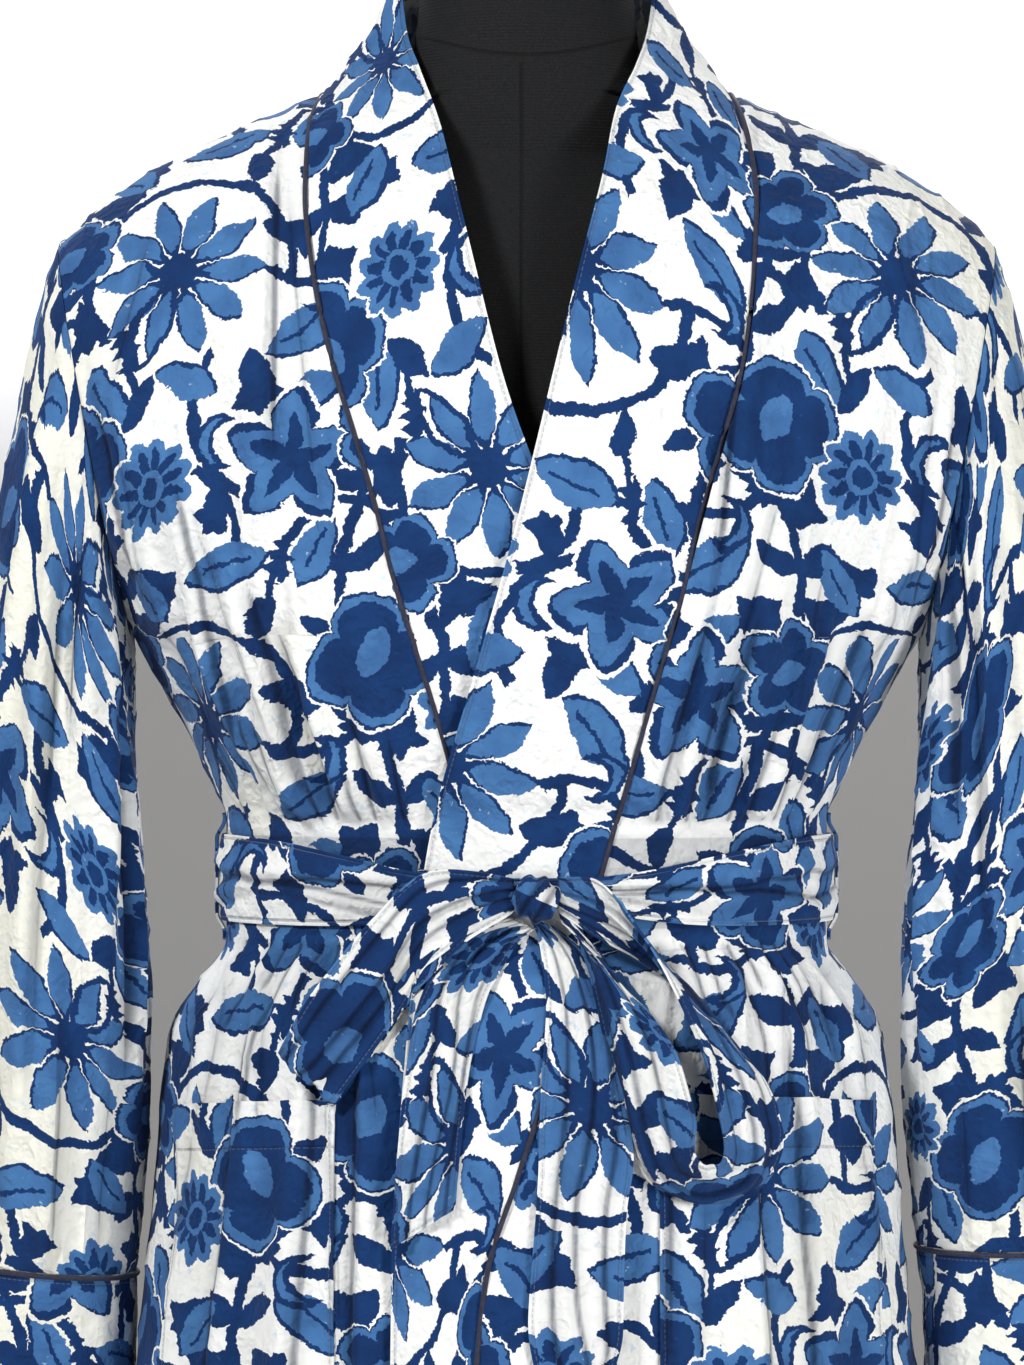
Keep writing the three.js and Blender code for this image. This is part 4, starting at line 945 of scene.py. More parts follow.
# Turn from the outer edge to the front in degrees, first and last station, width in degrees, and
# height.
SLEEVE_FOLDS = [
    (62, 0.4, 4.2, 13, 5), (98, 0.3, 3.4, 12, -4.5), (128, 1.0, 6.5, 15, 4.5),
    (34, 2.2, 7.4, 15, 4), (78, 4.0, 7.8, 16, 4), (-40, 1.2, 6.8, 17, 4.5),
    (-88, 0.8, 5.0, 16, -3.5), (-122, 2.4, 7.0, 17, 4),
]
# Creases that are too fine for the frame, in the same columns.
SLEEVE_CREASES = {
    "left": [
        (45, 0.2, 2.6, 5, 1.9), (80, 0.8, 4.6, 5, 2.0), (112, 0.2, 3.0, 4, -2.0),
        (140, 0.5, 4.0, 5, 2.0), (20, 1.2, 5.0, 6, -1.8), (95, 4.2, 7.8, 6, -2.0),
        (60, 5.0, 8.0, 5, 1.8), (120, 5.5, 8.0, 6, 1.8), (-20, 0.5, 4.5, 6, 1.8),
        (-66, 2.0, 7.0, 6, -2.0), (-105, 0.5, 3.5, 6, 2.0), (-145, 1.5, 7.5, 6, -1.8),
        (160, 1.0, 6.5, 6, -2.0),
    ],
    "right": [
        (52, 0.3, 3.4, 5, -2.2), (74, 0.4, 5.2, 6, 2.4), (90, 1.0, 4.6, 4, -2.4),
        (118, 0.2, 3.4, 4, 2.0), (146, 0.6, 4.4, 5, -2.0), (12, 1.6, 5.6, 6, 1.8),
        (100, 4.6, 7.9, 6, 2.2), (66, 5.2, 8.0, 5, -1.8), (132, 5.0, 8.0, 6, -2.0),
        (-24, 0.8, 5.0, 6, -1.8), (-70, 1.6, 6.6, 6, 2.0), (-110, 0.6, 3.9, 6, -2.0),
        (-150, 1.0, 7.0, 6, 1.8), (165, 1.4, 6.9, 6, 2.0),
    ],
}
# Tucks in the sleeves, in the same columns: a width below 0 turns the steep flank round.
SLEEVE_TUCKS = {
    "left": [
        (124, 0.2, 4.2, -10, 6.5), (100, 0.6, 5.4, 9, 4.5), (66, 1.4, 6.6, -8, 4.2),
        (142, 0.8, 6.4, 10, 6.0), (84, 4.6, 8.2, 8, 4.0), (40, 0.6, 4.0, 9, 3.8),
        (-30, 0.8, 6.0, 10, 4.5), (-75, 0.4, 4.6, -10, 4.5), (-125, 1.0, 6.0, 10, 4.5),
    ],
    "right": [
        (128, 0.2, 4.6, 10, 6.5), (106, 0.4, 3.6, -9, 5.0), (82, 1.6, 6.6, 9, 4.5),
        (56, 0.4, 4.4, -9, 4.0), (146, 1.0, 6.6, -10, 6.0), (98, 5.0, 8.2, 8, 4.0),
        (-34, 0.6, 5.6, -10, 4.5), (-80, 0.6, 5.0, 10, 4.5), (-130, 0.8, 6.4, -10, 4.5),
    ],
}


def sleeve_ring(station, drop):
    lower = drop * smooth(station / SLEEVE_END)
    inner = xyz(SLEEVE.at(station, "inner_x"), 0, SLEEVE.at(station, "inner_z") - lower)
    outer = xyz(SLEEVE.at(station, "outer_x"), 0, SLEEVE.at(station, "outer_z") - lower * 0.45)
    middle = lerp(inner, outer, 0.5)
    return middle, outer - middle, SLEEVE.at(station, "depth")


def ring_point(middle, reach, depth, turn):
    p = middle + reach * np.cos(turn)[..., None]
    p[..., 1] -= depth * np.sin(turn)
    return p


MM_A_DEGREE = 1.3  # round a sleeve
UNDERARM_TURN = 120  # tucks past it are the deepest, and their feet get the darkest painted shade
UNDERARM_AWAY = -0.9
SLEEVE_CREASE_GAIN, SLEEVE_TUCK_GAIN = 1.4, 1.8


def sleeve_lines(rows, station, degrees):
    """For each row: itself, how far round from its line a place is, and its share there."""
    for row in rows:
        turn, start, end = row[:3]
        t = (station - start) / (end - start)
        yield row, (degrees - turn + 540) % 360 - 180, faded(t, 0, 0.35, 0.7, 0.4)


def sleeve_height(rows, station, degrees, profile=bell):
    height = 0
    for (*_, width, rise), aside, ends in sleeve_lines(rows, station, degrees):
        height = height + rise * ends * profile(aside / width)
    return height


def sleeve_pleats(kind, station, degrees):
    """The distance in mm to the foot of the nearest tuck, or to the nearest crease, where the
    finish paints shade.
    """
    feet = np.full(np.shape(degrees), NO_EDGE)
    for row, aside, ends in sleeve_lines(SLEEVE_TUCKS[kind], station, degrees):
        away = np.abs(aside - PLEAT_FOOT * row[3]) * MM_A_DEGREE
        feet = nearer(feet, away + (UNDERARM_AWAY if row[0] > UNDERARM_TURN else 0), ends)
    for _, aside, ends in sleeve_lines(SLEEVE_CREASES[kind], station, degrees):
        feet = nearer(feet, np.abs(aside) * MM_A_DEGREE + CREASE_AWAY, ends)
    return feet


CUFF_DROP = {"left": 0, "right": RIGHT_CUFF_DROP}
SLEEVE_ROWS, SLEEVE_ROW_MM = 13, 28
CUFF_ROWS, CUFF_ROW_MM = 3, 26


def round_turn(u):
    return 2 * math.pi * u / SLEEVE_AROUND


def crumple_round(turn, along, seed):
    """The crumple of a tube of cloth, without a step where it closes."""
    return crumple(260 * np.sin(turn / 2) + 900 * np.cos(turn / 2), along, seed)


def sleeve(kind):
    side = SIDES[kind]
    rows = SLEEVE_ROWS

    def station(v):
        return v / rows * SLEEVE_END

    def point(u, v):
        turn = round_turn(u)
        middle, reach, depth = sleeve_ring(station(v), CUFF_DROP[kind])
        p = ring_point(middle, reach, depth, turn) + ARMHOLE_AXIS * SEAM_GAP
        rise = sleeve_height(SLEEVE_FOLDS, station(v), np.degrees(turn))
        return mirrored(side, p + unit(p - middle) * rise[..., None])

    def lift(base, u, v):
        turn = round_turn(u)
        place = station(v), np.degrees(turn) % 360
        fine = SLEEVE_CREASE_GAIN * sleeve_height(SLEEVE_CREASES[kind], *place)
        fine = fine + SLEEVE_TUCK_GAIN * sleeve_height(SLEEVE_TUCKS[kind], *place, steep)
        fine = fine + crumple_round(turn, v * 33, 61 + side)
        ends = smooth(v / 0.5) * smooth((rows - v) / 0.35)
        return fine * ends + sewn(v * SLEEVE_ROW_MM) + sewn((rows - v) * SLEEVE_ROW_MM)

    def planes(u, v, n):
        return keep_to(n, ARMHOLE_AXIS * [side, 1, 1], smooth(1 - v))

    def uv(base, u, v):
        arc = lengths(base, 1)
        middle = arc[:, -1:] * 0.25
        front = base.shape[1] // 4
        middle_line = lengths(base[:, front : front + 1], 0)
        return np.stack([side * (arc - middle), middle_line - middle_line[-1] + arc * 0], axis=-1)

    return wall(
        f"sleeve_cloth_{kind}", point, SLEEVE_AROUND, rows, (5, 10), (side, 0, 0), lift, planes,
        closed=True, uv=uv, stitched="", print_at={"left": (60, 150), "right": (-8, 196)}[kind],
        pleats=lambda base, u, v: sleeve_pleats(kind, station(v), 360 * u / SLEEVE_AROUND),
    )


def cuff_ring(down, drop):
    middle, reach, depth = sleeve_ring(np.float64(SLEEVE_END), drop)
    t = down / CUFF_DEPTH
    middle = middle + xyz(2 * t, 0, -down)
    return middle, reach * (1 - 0.02 * t)[..., None], depth


def level_ends(u, v, normals):
    return keep_to(normals, (0, 0, 1), 0 * u + 1)


def cuff(kind):
    side = SIDES[kind]
    top = PIPING_ROOM + SEAM_ROOM

    def point(u, v):
        ring = cuff_ring(lerp(top, CUFF_DEPTH, v / CUFF_ROWS), CUFF_DROP[kind])
        return mirrored(side, ring_point(*ring, round_turn(u)))

    def lift(base, u, v):
        turn = round_turn(u)
        soft = crumple_round(turn, v * CUFF_ROW_MM, 73 + side)
        wave = 2.2 * np.sin(3 * turn + side) + 1.3 * np.sin(5 * turn + 2)
        return (0.7 * soft + wave) * smooth(v / 1.2) + sewn(v * CUFF_ROW_MM)

    return wall(
        f"cuff_cloth_{kind}", point, SLEEVE_AROUND, CUFF_ROWS, (5, 9), (side, 0, 0), lift,
        level_ends, closed=True,
        stitched="b", print_at=(30 * side, 60), turned=True,
    )


def cuff_piping(kind):
    side = SIDES[kind]
    turn = np.linspace(0, 2 * math.pi, 120, endpoint=False)
    ring = cuff_ring(np.full(turn.shape, PIPING_ROOM), CUFF_DROP[kind])
    return cord(f"cuff_cord_{kind}", mirrored(side, ring_point(*ring, turn)), closed=True)


# ---- Pockets ----

POCKETS = {
    "left": {"inner": 73, "outer": 200, "bottom": 735, "top_inner": 927, "top_outer": 917},
    "right": {"inner": 108, "outer": 205, "bottom": 735, "top_inner": 923, "top_outer": 914},
}


def pocket(kind):
    side = SIDES[kind]
    p = POCKETS[kind]

    def point(u, v):
        z = lerp(p["bottom"], lerp(p["top_inner"], p["top_outer"], u), v)
        start, end = angle_at(FRONT, p["inner"], z), angle_at(FRONT, p["outer"], z)
        return mirrored(side, body_at(FRONT, lerp(start, end, u), z))

    def lift(base, u, v):
        gape = 2.4 * smooth((v - 0.75) / 0.25) * np.sin(math.pi * u) ** 2
        return relief_on(kind, base) + POCKET_LIFT + CLOTH + gape

    return wall(
        f"patch_pocket_{kind}", point, 1, 1, (64, 84), (0, -1, 0), lift,
        stitched="lrhb", print_at={"left": (100, 40), "right": (-150, 84)}[kind],
        pleats=pleats_on(kind),
    )


# ---- Belt, carriers and bow ----

BELT_AROUND, BELT_ROWS = 56, 3
BELT_STEP = 20.5  # mm round for each unit of u
BELT_WIDTH = 52
KNOT_X, KNOT_REACH = 5, 60
KNOT_PULL_UP, KNOT_PULL_DOWN = 13, 22  # how far the belt's edges are drawn in by the knot
TOP_EDGE_LEVEL_TO, TOP_EDGE_SLOPE = 25, 150
# Creases along the belt: how steep they are, as a share of its width, and how high in mm.
LOWER_CREASE, LOWER_RISE = 0.17, 3.8
UPPER_CREASE, UPPER_RISE = 0.16, 3.2


def belt_lift(x):
    left_of_wrap = 1 - smooth((-x - 62) / 34)
    return np.where(x < 0, WRAP_LIFT * left_of_wrap, wrap_lift(x, BELT_BOTTOM))


def belt():
    def point(u, v):
        turn = 2 * math.pi * u / BELT_AROUND
        in_front = np.cos(turn) > 0
        width = HALF_WIDTH.at(BELT_MIDDLE, "x")
        depth = np.where(in_front, depth_at(FRONT, BELT_MIDDLE), depth_at(BACK, BELT_MIDDLE))
        x = width * np.sin(turn)
        pull_up = KNOT_PULL_UP * bell((x - KNOT_X) / KNOT_REACH)
        slope = smooth((np.abs(x) - TOP_EDGE_LEVEL_TO) / TOP_EDGE_SLOPE)
        low = BELT_BOTTOM + np.where(in_front, pull_up, 0)
        high = BELT_TOP - np.where(in_front, KNOT_PULL_DOWN * (1 - slope), 0)
        stand = BELT_GAP + CLOTH + np.where(in_front, belt_lift(x), 0)
        z = lerp(low, high, v / BELT_ROWS)
        return xyz(x + np.sin(turn) * stand, -np.cos(turn) * (depth + stand), z)

    def crease_lines(u, v):
        round_mm = u * BELT_STEP
        lower = 0.36 + 0.1 * np.sin(round_mm / 47) + 0.05 * noise(round_mm / 30, v * 0, 5)
        upper = 0.68 + 0.07 * np.sin(round_mm / 61 + 2) + 0.05 * noise(round_mm / 26, v * 0, 9)
        return round_mm, lower, upper

    # distances to the feet of the belt's creases, where the finish paints shade
    def pleats(base, u, v):
        _, lower, upper = crease_lines(u, v)
        share = v / BELT_ROWS
        under = np.abs(share - lower - PLEAT_FOOT * LOWER_CREASE)
        over = np.abs(share - upper + PLEAT_FOOT * UPPER_CREASE)
        return np.minimum(under * 50, over * 50) + 0.2

    def lift(base, u, v):
        x = base[..., 0]
        round_mm, lower, upper = crease_lines(u, v)
        share = v / BELT_ROWS
        creases = LOWER_RISE * steep((share - lower) / LOWER_CREASE)
        creases = creases + UPPER_RISE * steep((upper - share) / UPPER_CREASE)
        third = 0.22 + 0.12 * np.sin(round_mm / 38 + 1) + 0.05 * noise(round_mm / 22, v * 0, 3)
        creases = creases - 2.0 * bell((third - share) / 0.05)
        swell = 1.5 * np.sin(math.pi * share) ** 0.7
        near_knot = bell((x - KNOT_X) / KNOT_REACH) * (base[..., 1] < 0)
        drawn_in = near_knot * 2.0 * np.sin(share * 21 + x / 14)
        soft = 0.6 * crumple(round_mm, share * BELT_WIDTH, 87)
        return np.clip(creases + swell + drawn_in + soft, -1.0, 8.0)

    def uv(base, u, v):
        return np.stack([v / BELT_ROWS * BELT_WIDTH, lengths(base, 1)], axis=-1)

    return wall(
        "waist_belt", point, BELT_AROUND, BELT_ROWS, (7, 8), (0, -1, 0), lift,
        level_ends, closed=True, uv=uv,
        stitched="tb", print_at=(18, 66), finish=BOTH_SIDES, pleats=pleats,
    )


THICKER_CLOTH = 1.4  # of the carriers and the knot
CARRIER_BOTTOM, CARRIER_TOP, CARRIER_HALF_WIDTH = 1008, 1083, 5
CARRIER_GAP, CARRIER_STEP = 0.7, 4.6  # off the robe at its ends, and out over the belt


def belt_carrier(kind):
    side = SIDES[kind]
    bottom, top = CARRIER_BOTTOM, CARRIER_TOP

    def point(u, v):
        z = lerp(bottom, top, v)
        over = smooth((z - bottom - 4) / 11) * (1 - smooth((z - top + 15) / 11))
        x = HALF_WIDTH.at(z, "x") + CARRIER_GAP + THICKER_CLOTH + CARRIER_STEP * over
        return xyz(side * x, lerp(-CARRIER_HALF_WIDTH, CARRIER_HALF_WIDTH, u), z)

    return wall(
        f"belt_loop_{kind}", point, 1, 1, (8, 60), (side, 0, 0),
        lambda base, u, v: 0.35 * np.cos(math.pi * (2 * u - 1)), thickness=THICKER_CLOTH,
        stitched="lr", print_at=(50, 20),
    )


# Stations along each ribbon of the bow: x and z of its middle, how far it hangs in front of the
# robe, and the way from its middle to one edge in x, y and z.
RIBBONS = {
    "bow_loop_right": [
        (-7.4, 1040, 15, 0, 0, 8), (-30, 1036, 19, 0, -3, 15), (-58, 1026, 22, -2, -4, 22),
        (-82, 997, 22, -11, -4, 18), (-108, 963, 21, -15, -3, 14), (-123, 940, 18, -14, -1, 13),
        (-127, 934, 14, -13.5, 0, 13), (-122, 939, 10, -14, 0, 13), (-100, 970, 9.5, -13, 0, 15),
        (-64, 1010, 12, -4, 0, 19), (-32, 1030, 12, 0, 0, 13), (-7.4, 1038, 12, 0, 0, 7),
    ],
    "bow_loop_left": [
        (17.9, 1040, 14.5, 0, 0, 9), (48, 1028, 22, -5, -8, 17), (80, 1000, 26, -12, -11, 17),
        (106, 966, 27, -15, -12, 12), (122, 932, 27, -16, -12, 6), (128, 900, 26, -15, -13, 2),
        (120, 882, 26, -10, -15, 8), (100, 877, 25, 0, -15, 11), (80, 888, 24, 10, -13, 9),
        (73, 915, 23, 17, -11, 4), (64, 950, 22, 17, -10, 0), (50, 985, 20, 13, -9, -6),
        (34, 1012, 17, 8, -5, -10), (18, 1034, 13.5, 1, 0, -8),
    ],
    "bow_tail_right": [
        (-2.5, 1023.5, 8, 6.5, 0, -3), (-18, 1017, 5.5, 14, 0, -1), (-32, 1001, 5.5, 16.5, -1, 0),
        (-45, 973, 6, 16.5, -2, 1), (-51, 940, 6, 15.5, -2, 1), (-55, 905, 6, 15.5, -2, 3),
        (-59, 853, 6, 15.5, -2, 10),
    ],
    "bow_tail_left": [
        (8, 1024.2, 8, 6, 0, -2), (19, 1011, 7.5, 11, 0, -3), (28, 975, 6, 15, -1, -1),
        (31, 932, 6, 20, -1, -3), (33, 895, 6, 23, -1, -2), (30, 860, 6, 22, -1, 0),
        (27, 800, 6, 23, -1, 0), (27, 768, 6, 18, -1, 3),
    ],
}
# Lengthwise folds of each ribbon: share across, width, height, and how far it wanders.
RIBBON_FOLDS = {
    "bow_loop_right": [(0.3, 0.06, -1.8, 0.10), (0.62, -0.06, 1.8, 0.12), (0.82, 0.05, -1.3, 0.05)],
    "bow_loop_left": [(0.35, 0.07, 1.8, 0.10), (0.66, 0.06, -1.8, 0.10), (0.14, 0.05, -1.2, 0.04)],
    "bow_tail_right": [(0.28, 0.07, 1.9, 0.08), (0.58, 0.07, -1.8, 0.12), (0.84, 0.05, 1.2, 0.04)],
    "bow_tail_left": [(0.22, 0.06, -1.7, 0.06), (0.5, 0.07, 2.0, 0.12), (0.78, 0.06, -1.8, 0.06)],
}
RIBBON_FULLNESS = 1.16  # soft ribbons spread a little past the frame's
RIBBON_FOLD_GAIN = 2.2
RIBBON_COLUMNS, RIBBON_ROWS = 28, 150
RIBBON_WIDTH = 48


def ribbon(name):
    track = stations("x z clear half_x half_y half_z", RIBBONS[name])
    is_loop = "loop" in name
    length = len(RIBBONS[name]) - 1
    seed = 90 + 3 * list(RIBBONS).index(name)

    def point(u, v):
        x, z, clear, half_x, half_y, half_z = [track.at(v, c) for c in track.columns]
        side = (2 * u - 1) * RIBBON_FULLNESS
        y = front_y(x, z) - np.maximum(wrap_lift(x, z), 0) - clear
        return xyz(x + side * half_x, y + side * half_y, z + side * half_z)

    def lift(base, u, v):
        share = v / length
        height = 0.8 * crumple(u * 46, share * 330, seed)
        for at, width, rise, wander in RIBBON_FOLDS[name]:
            middle = at + wander * np.sin(share * 9 + seed)
            lively = 0.6 + 0.4 * np.cos(share * 5 + at * 9)
            fold = rise * lively * steep((u - middle) / (2 * width))
            height = height + RIBBON_FOLD_GAIN * fold
        narrow = smooth(share / 0.12) * smooth((1 - share) / 0.12 if is_loop else 1)
        edge = -1.4 * (bell(u / 0.06) + bell((1 - u) / 0.06)) * np.sin(share * 11 + seed) ** 2
        return height * lerp(0.5, 1, narrow) + edge

    # distances to the feet of the ribbon's folds and to the knot, where the finish paints shade
    def pleats(base, u, v):
        share = v / length
        at_knot = np.minimum(share, 1 - share if is_loop else 1) * length * 30
        away = at_knot + 0.6
        for at, width, _, wander in RIBBON_FOLDS[name]:
            foot = at + wander * np.sin(share * 9 + seed) + 2 * PLEAT_FOOT * width
            away = np.minimum(away, np.abs(u - foot) * 42 + 0.3)
        return away

    def uv(base, u, v):
        middle = RIBBON_COLUMNS // 2
        length_mm = lengths(base, 0)[:, middle : middle + 1]
        return np.stack([u * RIBBON_WIDTH, length_mm + 0 * u], axis=-1)

    steps = RIBBON_COLUMNS, RIBBON_ROWS / length
    return wall(
        name + "_cloth", point, 1, length, steps, (0, -1, 0), lift,
        uv=uv, stitched="lr" if is_loop else "lrt", print_at=(seed * 7, seed * 13),
        finish=BOTH_SIDES, pleats=pleats,
    )


KNOT_AROUND, KNOT_ACROSS = 24, 6
KNOT_TILT = math.radians(-24)
KNOT_FULLNESS = np.array([1.12, 1.1, 1.12])  # past the frame's, as the ribbons


def bow_knot():
    """The belt's wrap round the crossing of the bow: a pinched ring with pleats round it."""
    low, high = [np.array(corner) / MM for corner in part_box("bow_knot")]
    middle, half = (low + high) / 2, (high - low) / 2 * KNOT_FULLNESS
    c, s = math.cos(KNOT_TILT), math.sin(KNOT_TILT)

    def point(u, v):
        turn = 2 * math.pi * u / KNOT_AROUND
        t = v / KNOT_ACROSS * 2 - 1
        pinch = np.sqrt(np.clip(1 - np.abs(t) ** 2.6 * 0.72, 0, 1))
        pleat = 1 + 0.11 * np.sin(t * 8 + 1.5 * np.sin(turn)) + 0.04 * np.sin(3 * turn)
        a, b = half[1] * 0.98 * pinch * pleat, half[2] * 0.98 * pinch * pleat
        x = t * half[0] * 0.97
        y, z = -a * np.cos(turn), b * np.sin(turn)
        return middle + xyz(x * c - z * s, y, x * s + z * c)

    return wall(
        "bow_knot_cloth", point, KNOT_AROUND, KNOT_ACROSS, (4, 8), (0, -1, 0), closed=True,
        thickness=THICKER_CLOTH, print_at=(52, 12),
        uv=lambda base, u, v: np.stack([v / KNOT_ACROSS * 26, u * 3.0], axis=-1),
        # painted shade along the knot's pleats
        pleats=lambda base, u, v: np.abs(np.abs(v - 3.4 - 0.5 * np.sin(u / 4)) - 1.1) * 3.6,
        finish=BOTH_SIDES,
    )


# ---- The dress form and its stand ----

FORM_SECTIONS = Table("z half_width front back", [
    (775, 120, 78, 74), (785, 150, 98, 92), (815, 168, 110, 104), (880, 176, 116, 112),
    (950, 163, 108, 102), (1040, 148, 100, 92), (1130, 160, 110, 103), (1220, 176, 122, 112),
    (1300, 188, 122, 114), (1370, 203, 104, 104), (1420, 211, 84, 86), (1450, 208, 66, 70),
])
FORM_NECK = Table("z half_width front back", [
    (1440, 90, 60, 62), (1486, 88, 58, 62), (1506, 80, 58, 61), (1518, 73, 58, 60),
    (1535, 67, 58, 59), (1560, 64, 58, 58), (1590, 62, 57, 57),
])
FORM_AROUND = 144
FORM_HEIGHTS = [
    775, 785, 815, 860, 910, 960, 1010, 1060, 1110, 1160, 1210, 1260, 1310, 1350, 1385, 1415, 1440,
]
SHOULDER_STEPS = [206, 194, 178, 160, 141]
SHOULDER_DEPTH_SHARE = 0.54
NECK_HEIGHTS = [1508, 1518, 1536, 1562, 1590]
FORM_CLEARANCE = 2.4  # from the shoulders' cloth to the form


def form_ring(z, half_width, front, back):
    turn = 2 * math.pi * np.arange(FORM_AROUND) / FORM_AROUND
    share = np.sqrt(np.maximum(0, 1 - np.sin(turn) ** 2))
    y = np.where(np.cos(turn) > 0, -front * share, back * share)
    return xyz(half_width * np.sin(turn), y, z)


def form_rings():
    names = ("half_width", "front", "back")
    rings = [form_ring(z, *[float(FORM_SECTIONS.at(z, c)) for c in names]) for z in FORM_HEIGHTS]
    for half_width in SHOULDER_STEPS:
        cloth_z = float(SHOULDER.at(half_width, "z"))
        z = cloth_z - FORM_CLEARANCE
        ring = form_ring(z, half_width, 0, 0)
        x = np.abs(ring[:, 0])
        for face, name in ((FRONT, "front"), (BACK, "back")):
            neck = float(FORM_NECK.at(z, name)) * np.sqrt(
                np.maximum(0, 1 - (x / float(FORM_NECK.at(z, "half_width"))) ** 2)
            )
            cloth = body_at(face, angle_at(face, x, np.float64(cloth_z)), cloth_z + 0 * x)
            under = SHOULDER_DEPTH_SHARE * np.abs(cloth[:, 1] - face * SEAM_GAP / 2)
            here = np.arange(FORM_AROUND) * 4 // FORM_AROUND
            on_face = (here == 0) | (here == 3) if face == FRONT else (here == 1) | (here == 2)
            ring[:, 1] = np.where(on_face, face * np.maximum(neck, under), ring[:, 1])
        rings.append(ring)
    rings += [form_ring(z, *[float(FORM_NECK.at(z, c)) for c in names]) for z in NECK_HEIGHTS]
    return rings


def ringed(name, rings, steps):
    """A smooth closed solid through rings of points, with flat ends."""
    count = len(rings[0])
    columns = "c" + " c".join(str(i) for i in range(count * 3))
    track = stations(columns, [tuple(ring.ravel()) for ring in rings])
    rows = np.linspace(0, len(rings) - 1, (len(rings) - 1) * steps + 1)
    grid = np.stack([track.at(rows, c) for c in track.columns], axis=-1)
    mesh = ringed_mesh(name, grid.reshape(len(rows), count, 3))
    return dressed(name, mesh, ["form_jersey"], FORM_SHARP)


NECK_CAP_Z, NECK_CAP_RISE = 1590.3, 8
NECK_CAP_HALF_WIDTH, NECK_CAP_HALF_DEPTH, NECK_CAP_TAPER = 61, 56, 0.32


def neck_cap():
    rings = []
    for t in (0, 0.15, 0.3, 0.5, 0.7, 0.85, 1):
        shrink = 1 - NECK_CAP_TAPER * t * t
        z = NECK_CAP_Z + NECK_CAP_RISE * math.sin(math.radians(90 * t))
        depth = NECK_CAP_HALF_DEPTH * shrink
        rings.append(form_ring(z, NECK_CAP_HALF_WIDTH * shrink, depth, depth))
    return ringed("form_neck_disc", rings, 3)


EDGE_BEVEL, BEVEL_STEPS, BEVELLED_FROM = 1.2, 3, math.radians(25)


def turned(name, profile, segments):
    """A turned part, drawn up from a disc through (radius, height) in mm."""
    bpy.ops.object.select_all(action="DESELECT")
    radius, height = profile[0]
    bpy.ops.mesh.primitive_circle_add(
        vertices=segments, radius=radius * MM, fill_type="NGON", location=(0, 0, height * MM)
    )
    piece = bpy.context.object
    piece.name = name
    piece.data.name = name
    bpy.ops.object.transform_apply(location=True)
    bpy.ops.object.mode_set(mode="EDIT")
    bpy.ops.mesh.select_all(action="SELECT")
    for next_radius, next_height in profile[1:]:
        rise = (0, 0, (next_height - height) * MM)
        bpy.ops.mesh.extrude_region_move(TRANSFORM_OT_translate={"value": rise})
        ratio = next_radius / radius
        centre = (0, 0, next_height * MM)
        bpy.ops.transform.resize(value=(ratio, ratio, 1), center_override=centre)
        radius, height = next_radius, next_height
    bpy.ops.mesh.select_all(action="SELECT")
    bpy.ops.mesh.normals_make_consistent(inside=False)
    bpy.ops.object.mode_set(mode="OBJECT")
    bevel = piece.modifiers.new("edges", "BEVEL")
    bevel.width, bevel.segments = EDGE_BEVEL * MM, BEVEL_STEPS
    bevel.limit_method, bevel.angle_limit = "ANGLE", BEVELLED_FROM
    bpy.ops.object.modifier_apply(modifier=bevel.name)
    bpy.ops.object.shade_smooth_by_angle(angle=METAL_SHARP)
    piece.data.materials.append(finishes["stand_metal"])
    return piece


def arc_steps(radius_from, z_from, radius_to, z_to, steps=6):
    """Steps of a quarter round from one radius and height to another."""
    turns = [math.pi / 2 * i / steps for i in range(1, steps + 1)]
    return [
        (lerp(radius_from, radius_to, 1 - math.cos(t)), lerp(z_from, z_to, math.sin(t)))
        for t in turns
    ]


def stand_base():
    profile = [(202, 0), (205, 3), (205, 12), *arc_steps(205, 12, 197, 18.7)]
    profile += [(130, 22.6), (64, 26), (44, 28.4), (34, 32), (31.5, 40), (30, 46)]
    return turned("stand_foot", profile, 160)


def stand_pole():
    profile = [(16, 46.3), (16, 560), (16.6, 562), (16.6, 572), (16, 574), (16, 734.7)]
    profile += [(22, 736), (24, 740.7), (24, 774.7)]
    return turned("stand_tube", profile, 64)


# ---- Fields: sums on the surface, as nodes ----


class Field:
    """A number that changes over the surface: the output of a node."""

    def __init__(self, socket):
        self.socket, self.tree = socket, socket.id_data

    def __add__(self, other):
        return maths("ADD", self, other)

    def __sub__(self, other):
        return maths("SUBTRACT", self, other)

    def __mul__(self, other):
        return maths("MULTIPLY", self, other)

    def __lt__(self, other):
        return maths("LESS_THAN", self, other)

    def __gt__(self, other):
        return maths("GREATER_THAN", self, other)

    __radd__, __rmul__ = __add__, __mul__

    def __rsub__(self, other):
        return maths("SUBTRACT", other, self)


def put(socket, given):
    """Links a field, colour or vector output to a socket, or sets the socket's value."""
    if isinstance(given, Field):
        given = given.socket
    if isinstance(given, bpy.types.NodeSocket):
        socket.id_data.links.new(given, socket)
    else:
        socket.default_value = given


def maths(operation, *given):
    tree = next(g.tree for g in given if isinstance(g, Field))
    node = tree.nodes.new("ShaderNodeMath")
    node.operation = operation
    for socket, value in zip(node.inputs, given):
        put(socket, value)
    return Field(node.outputs[0])


absolute = partial(maths, "ABSOLUTE")
sine = partial(maths, "SINE")
root = partial(maths, "SQRT")
power = partial(maths, "POWER")
angle_of = partial(maths, "ARCTAN2")  # of y and x
larger = partial(maths, "MAXIMUM")
smaller = partial(maths, "MINIMUM")
multiply_add = partial(maths, "MULTIPLY_ADD")
wrap = partial(maths, "WRAP")  # into the range of its second and third values


def nearest(a):
    return maths("FLOOR", a + 0.5)


def parity(a):
    return maths("FLOORED_MODULO", a, 2.0)


def distance(x, y):
    return root(multiply_add(x, x, y * y))


# ---- The print ----

REPEAT_WIDTH, REPEAT_HEIGHT = 150.0, 216.0
PRINT_SCALE = 1.25


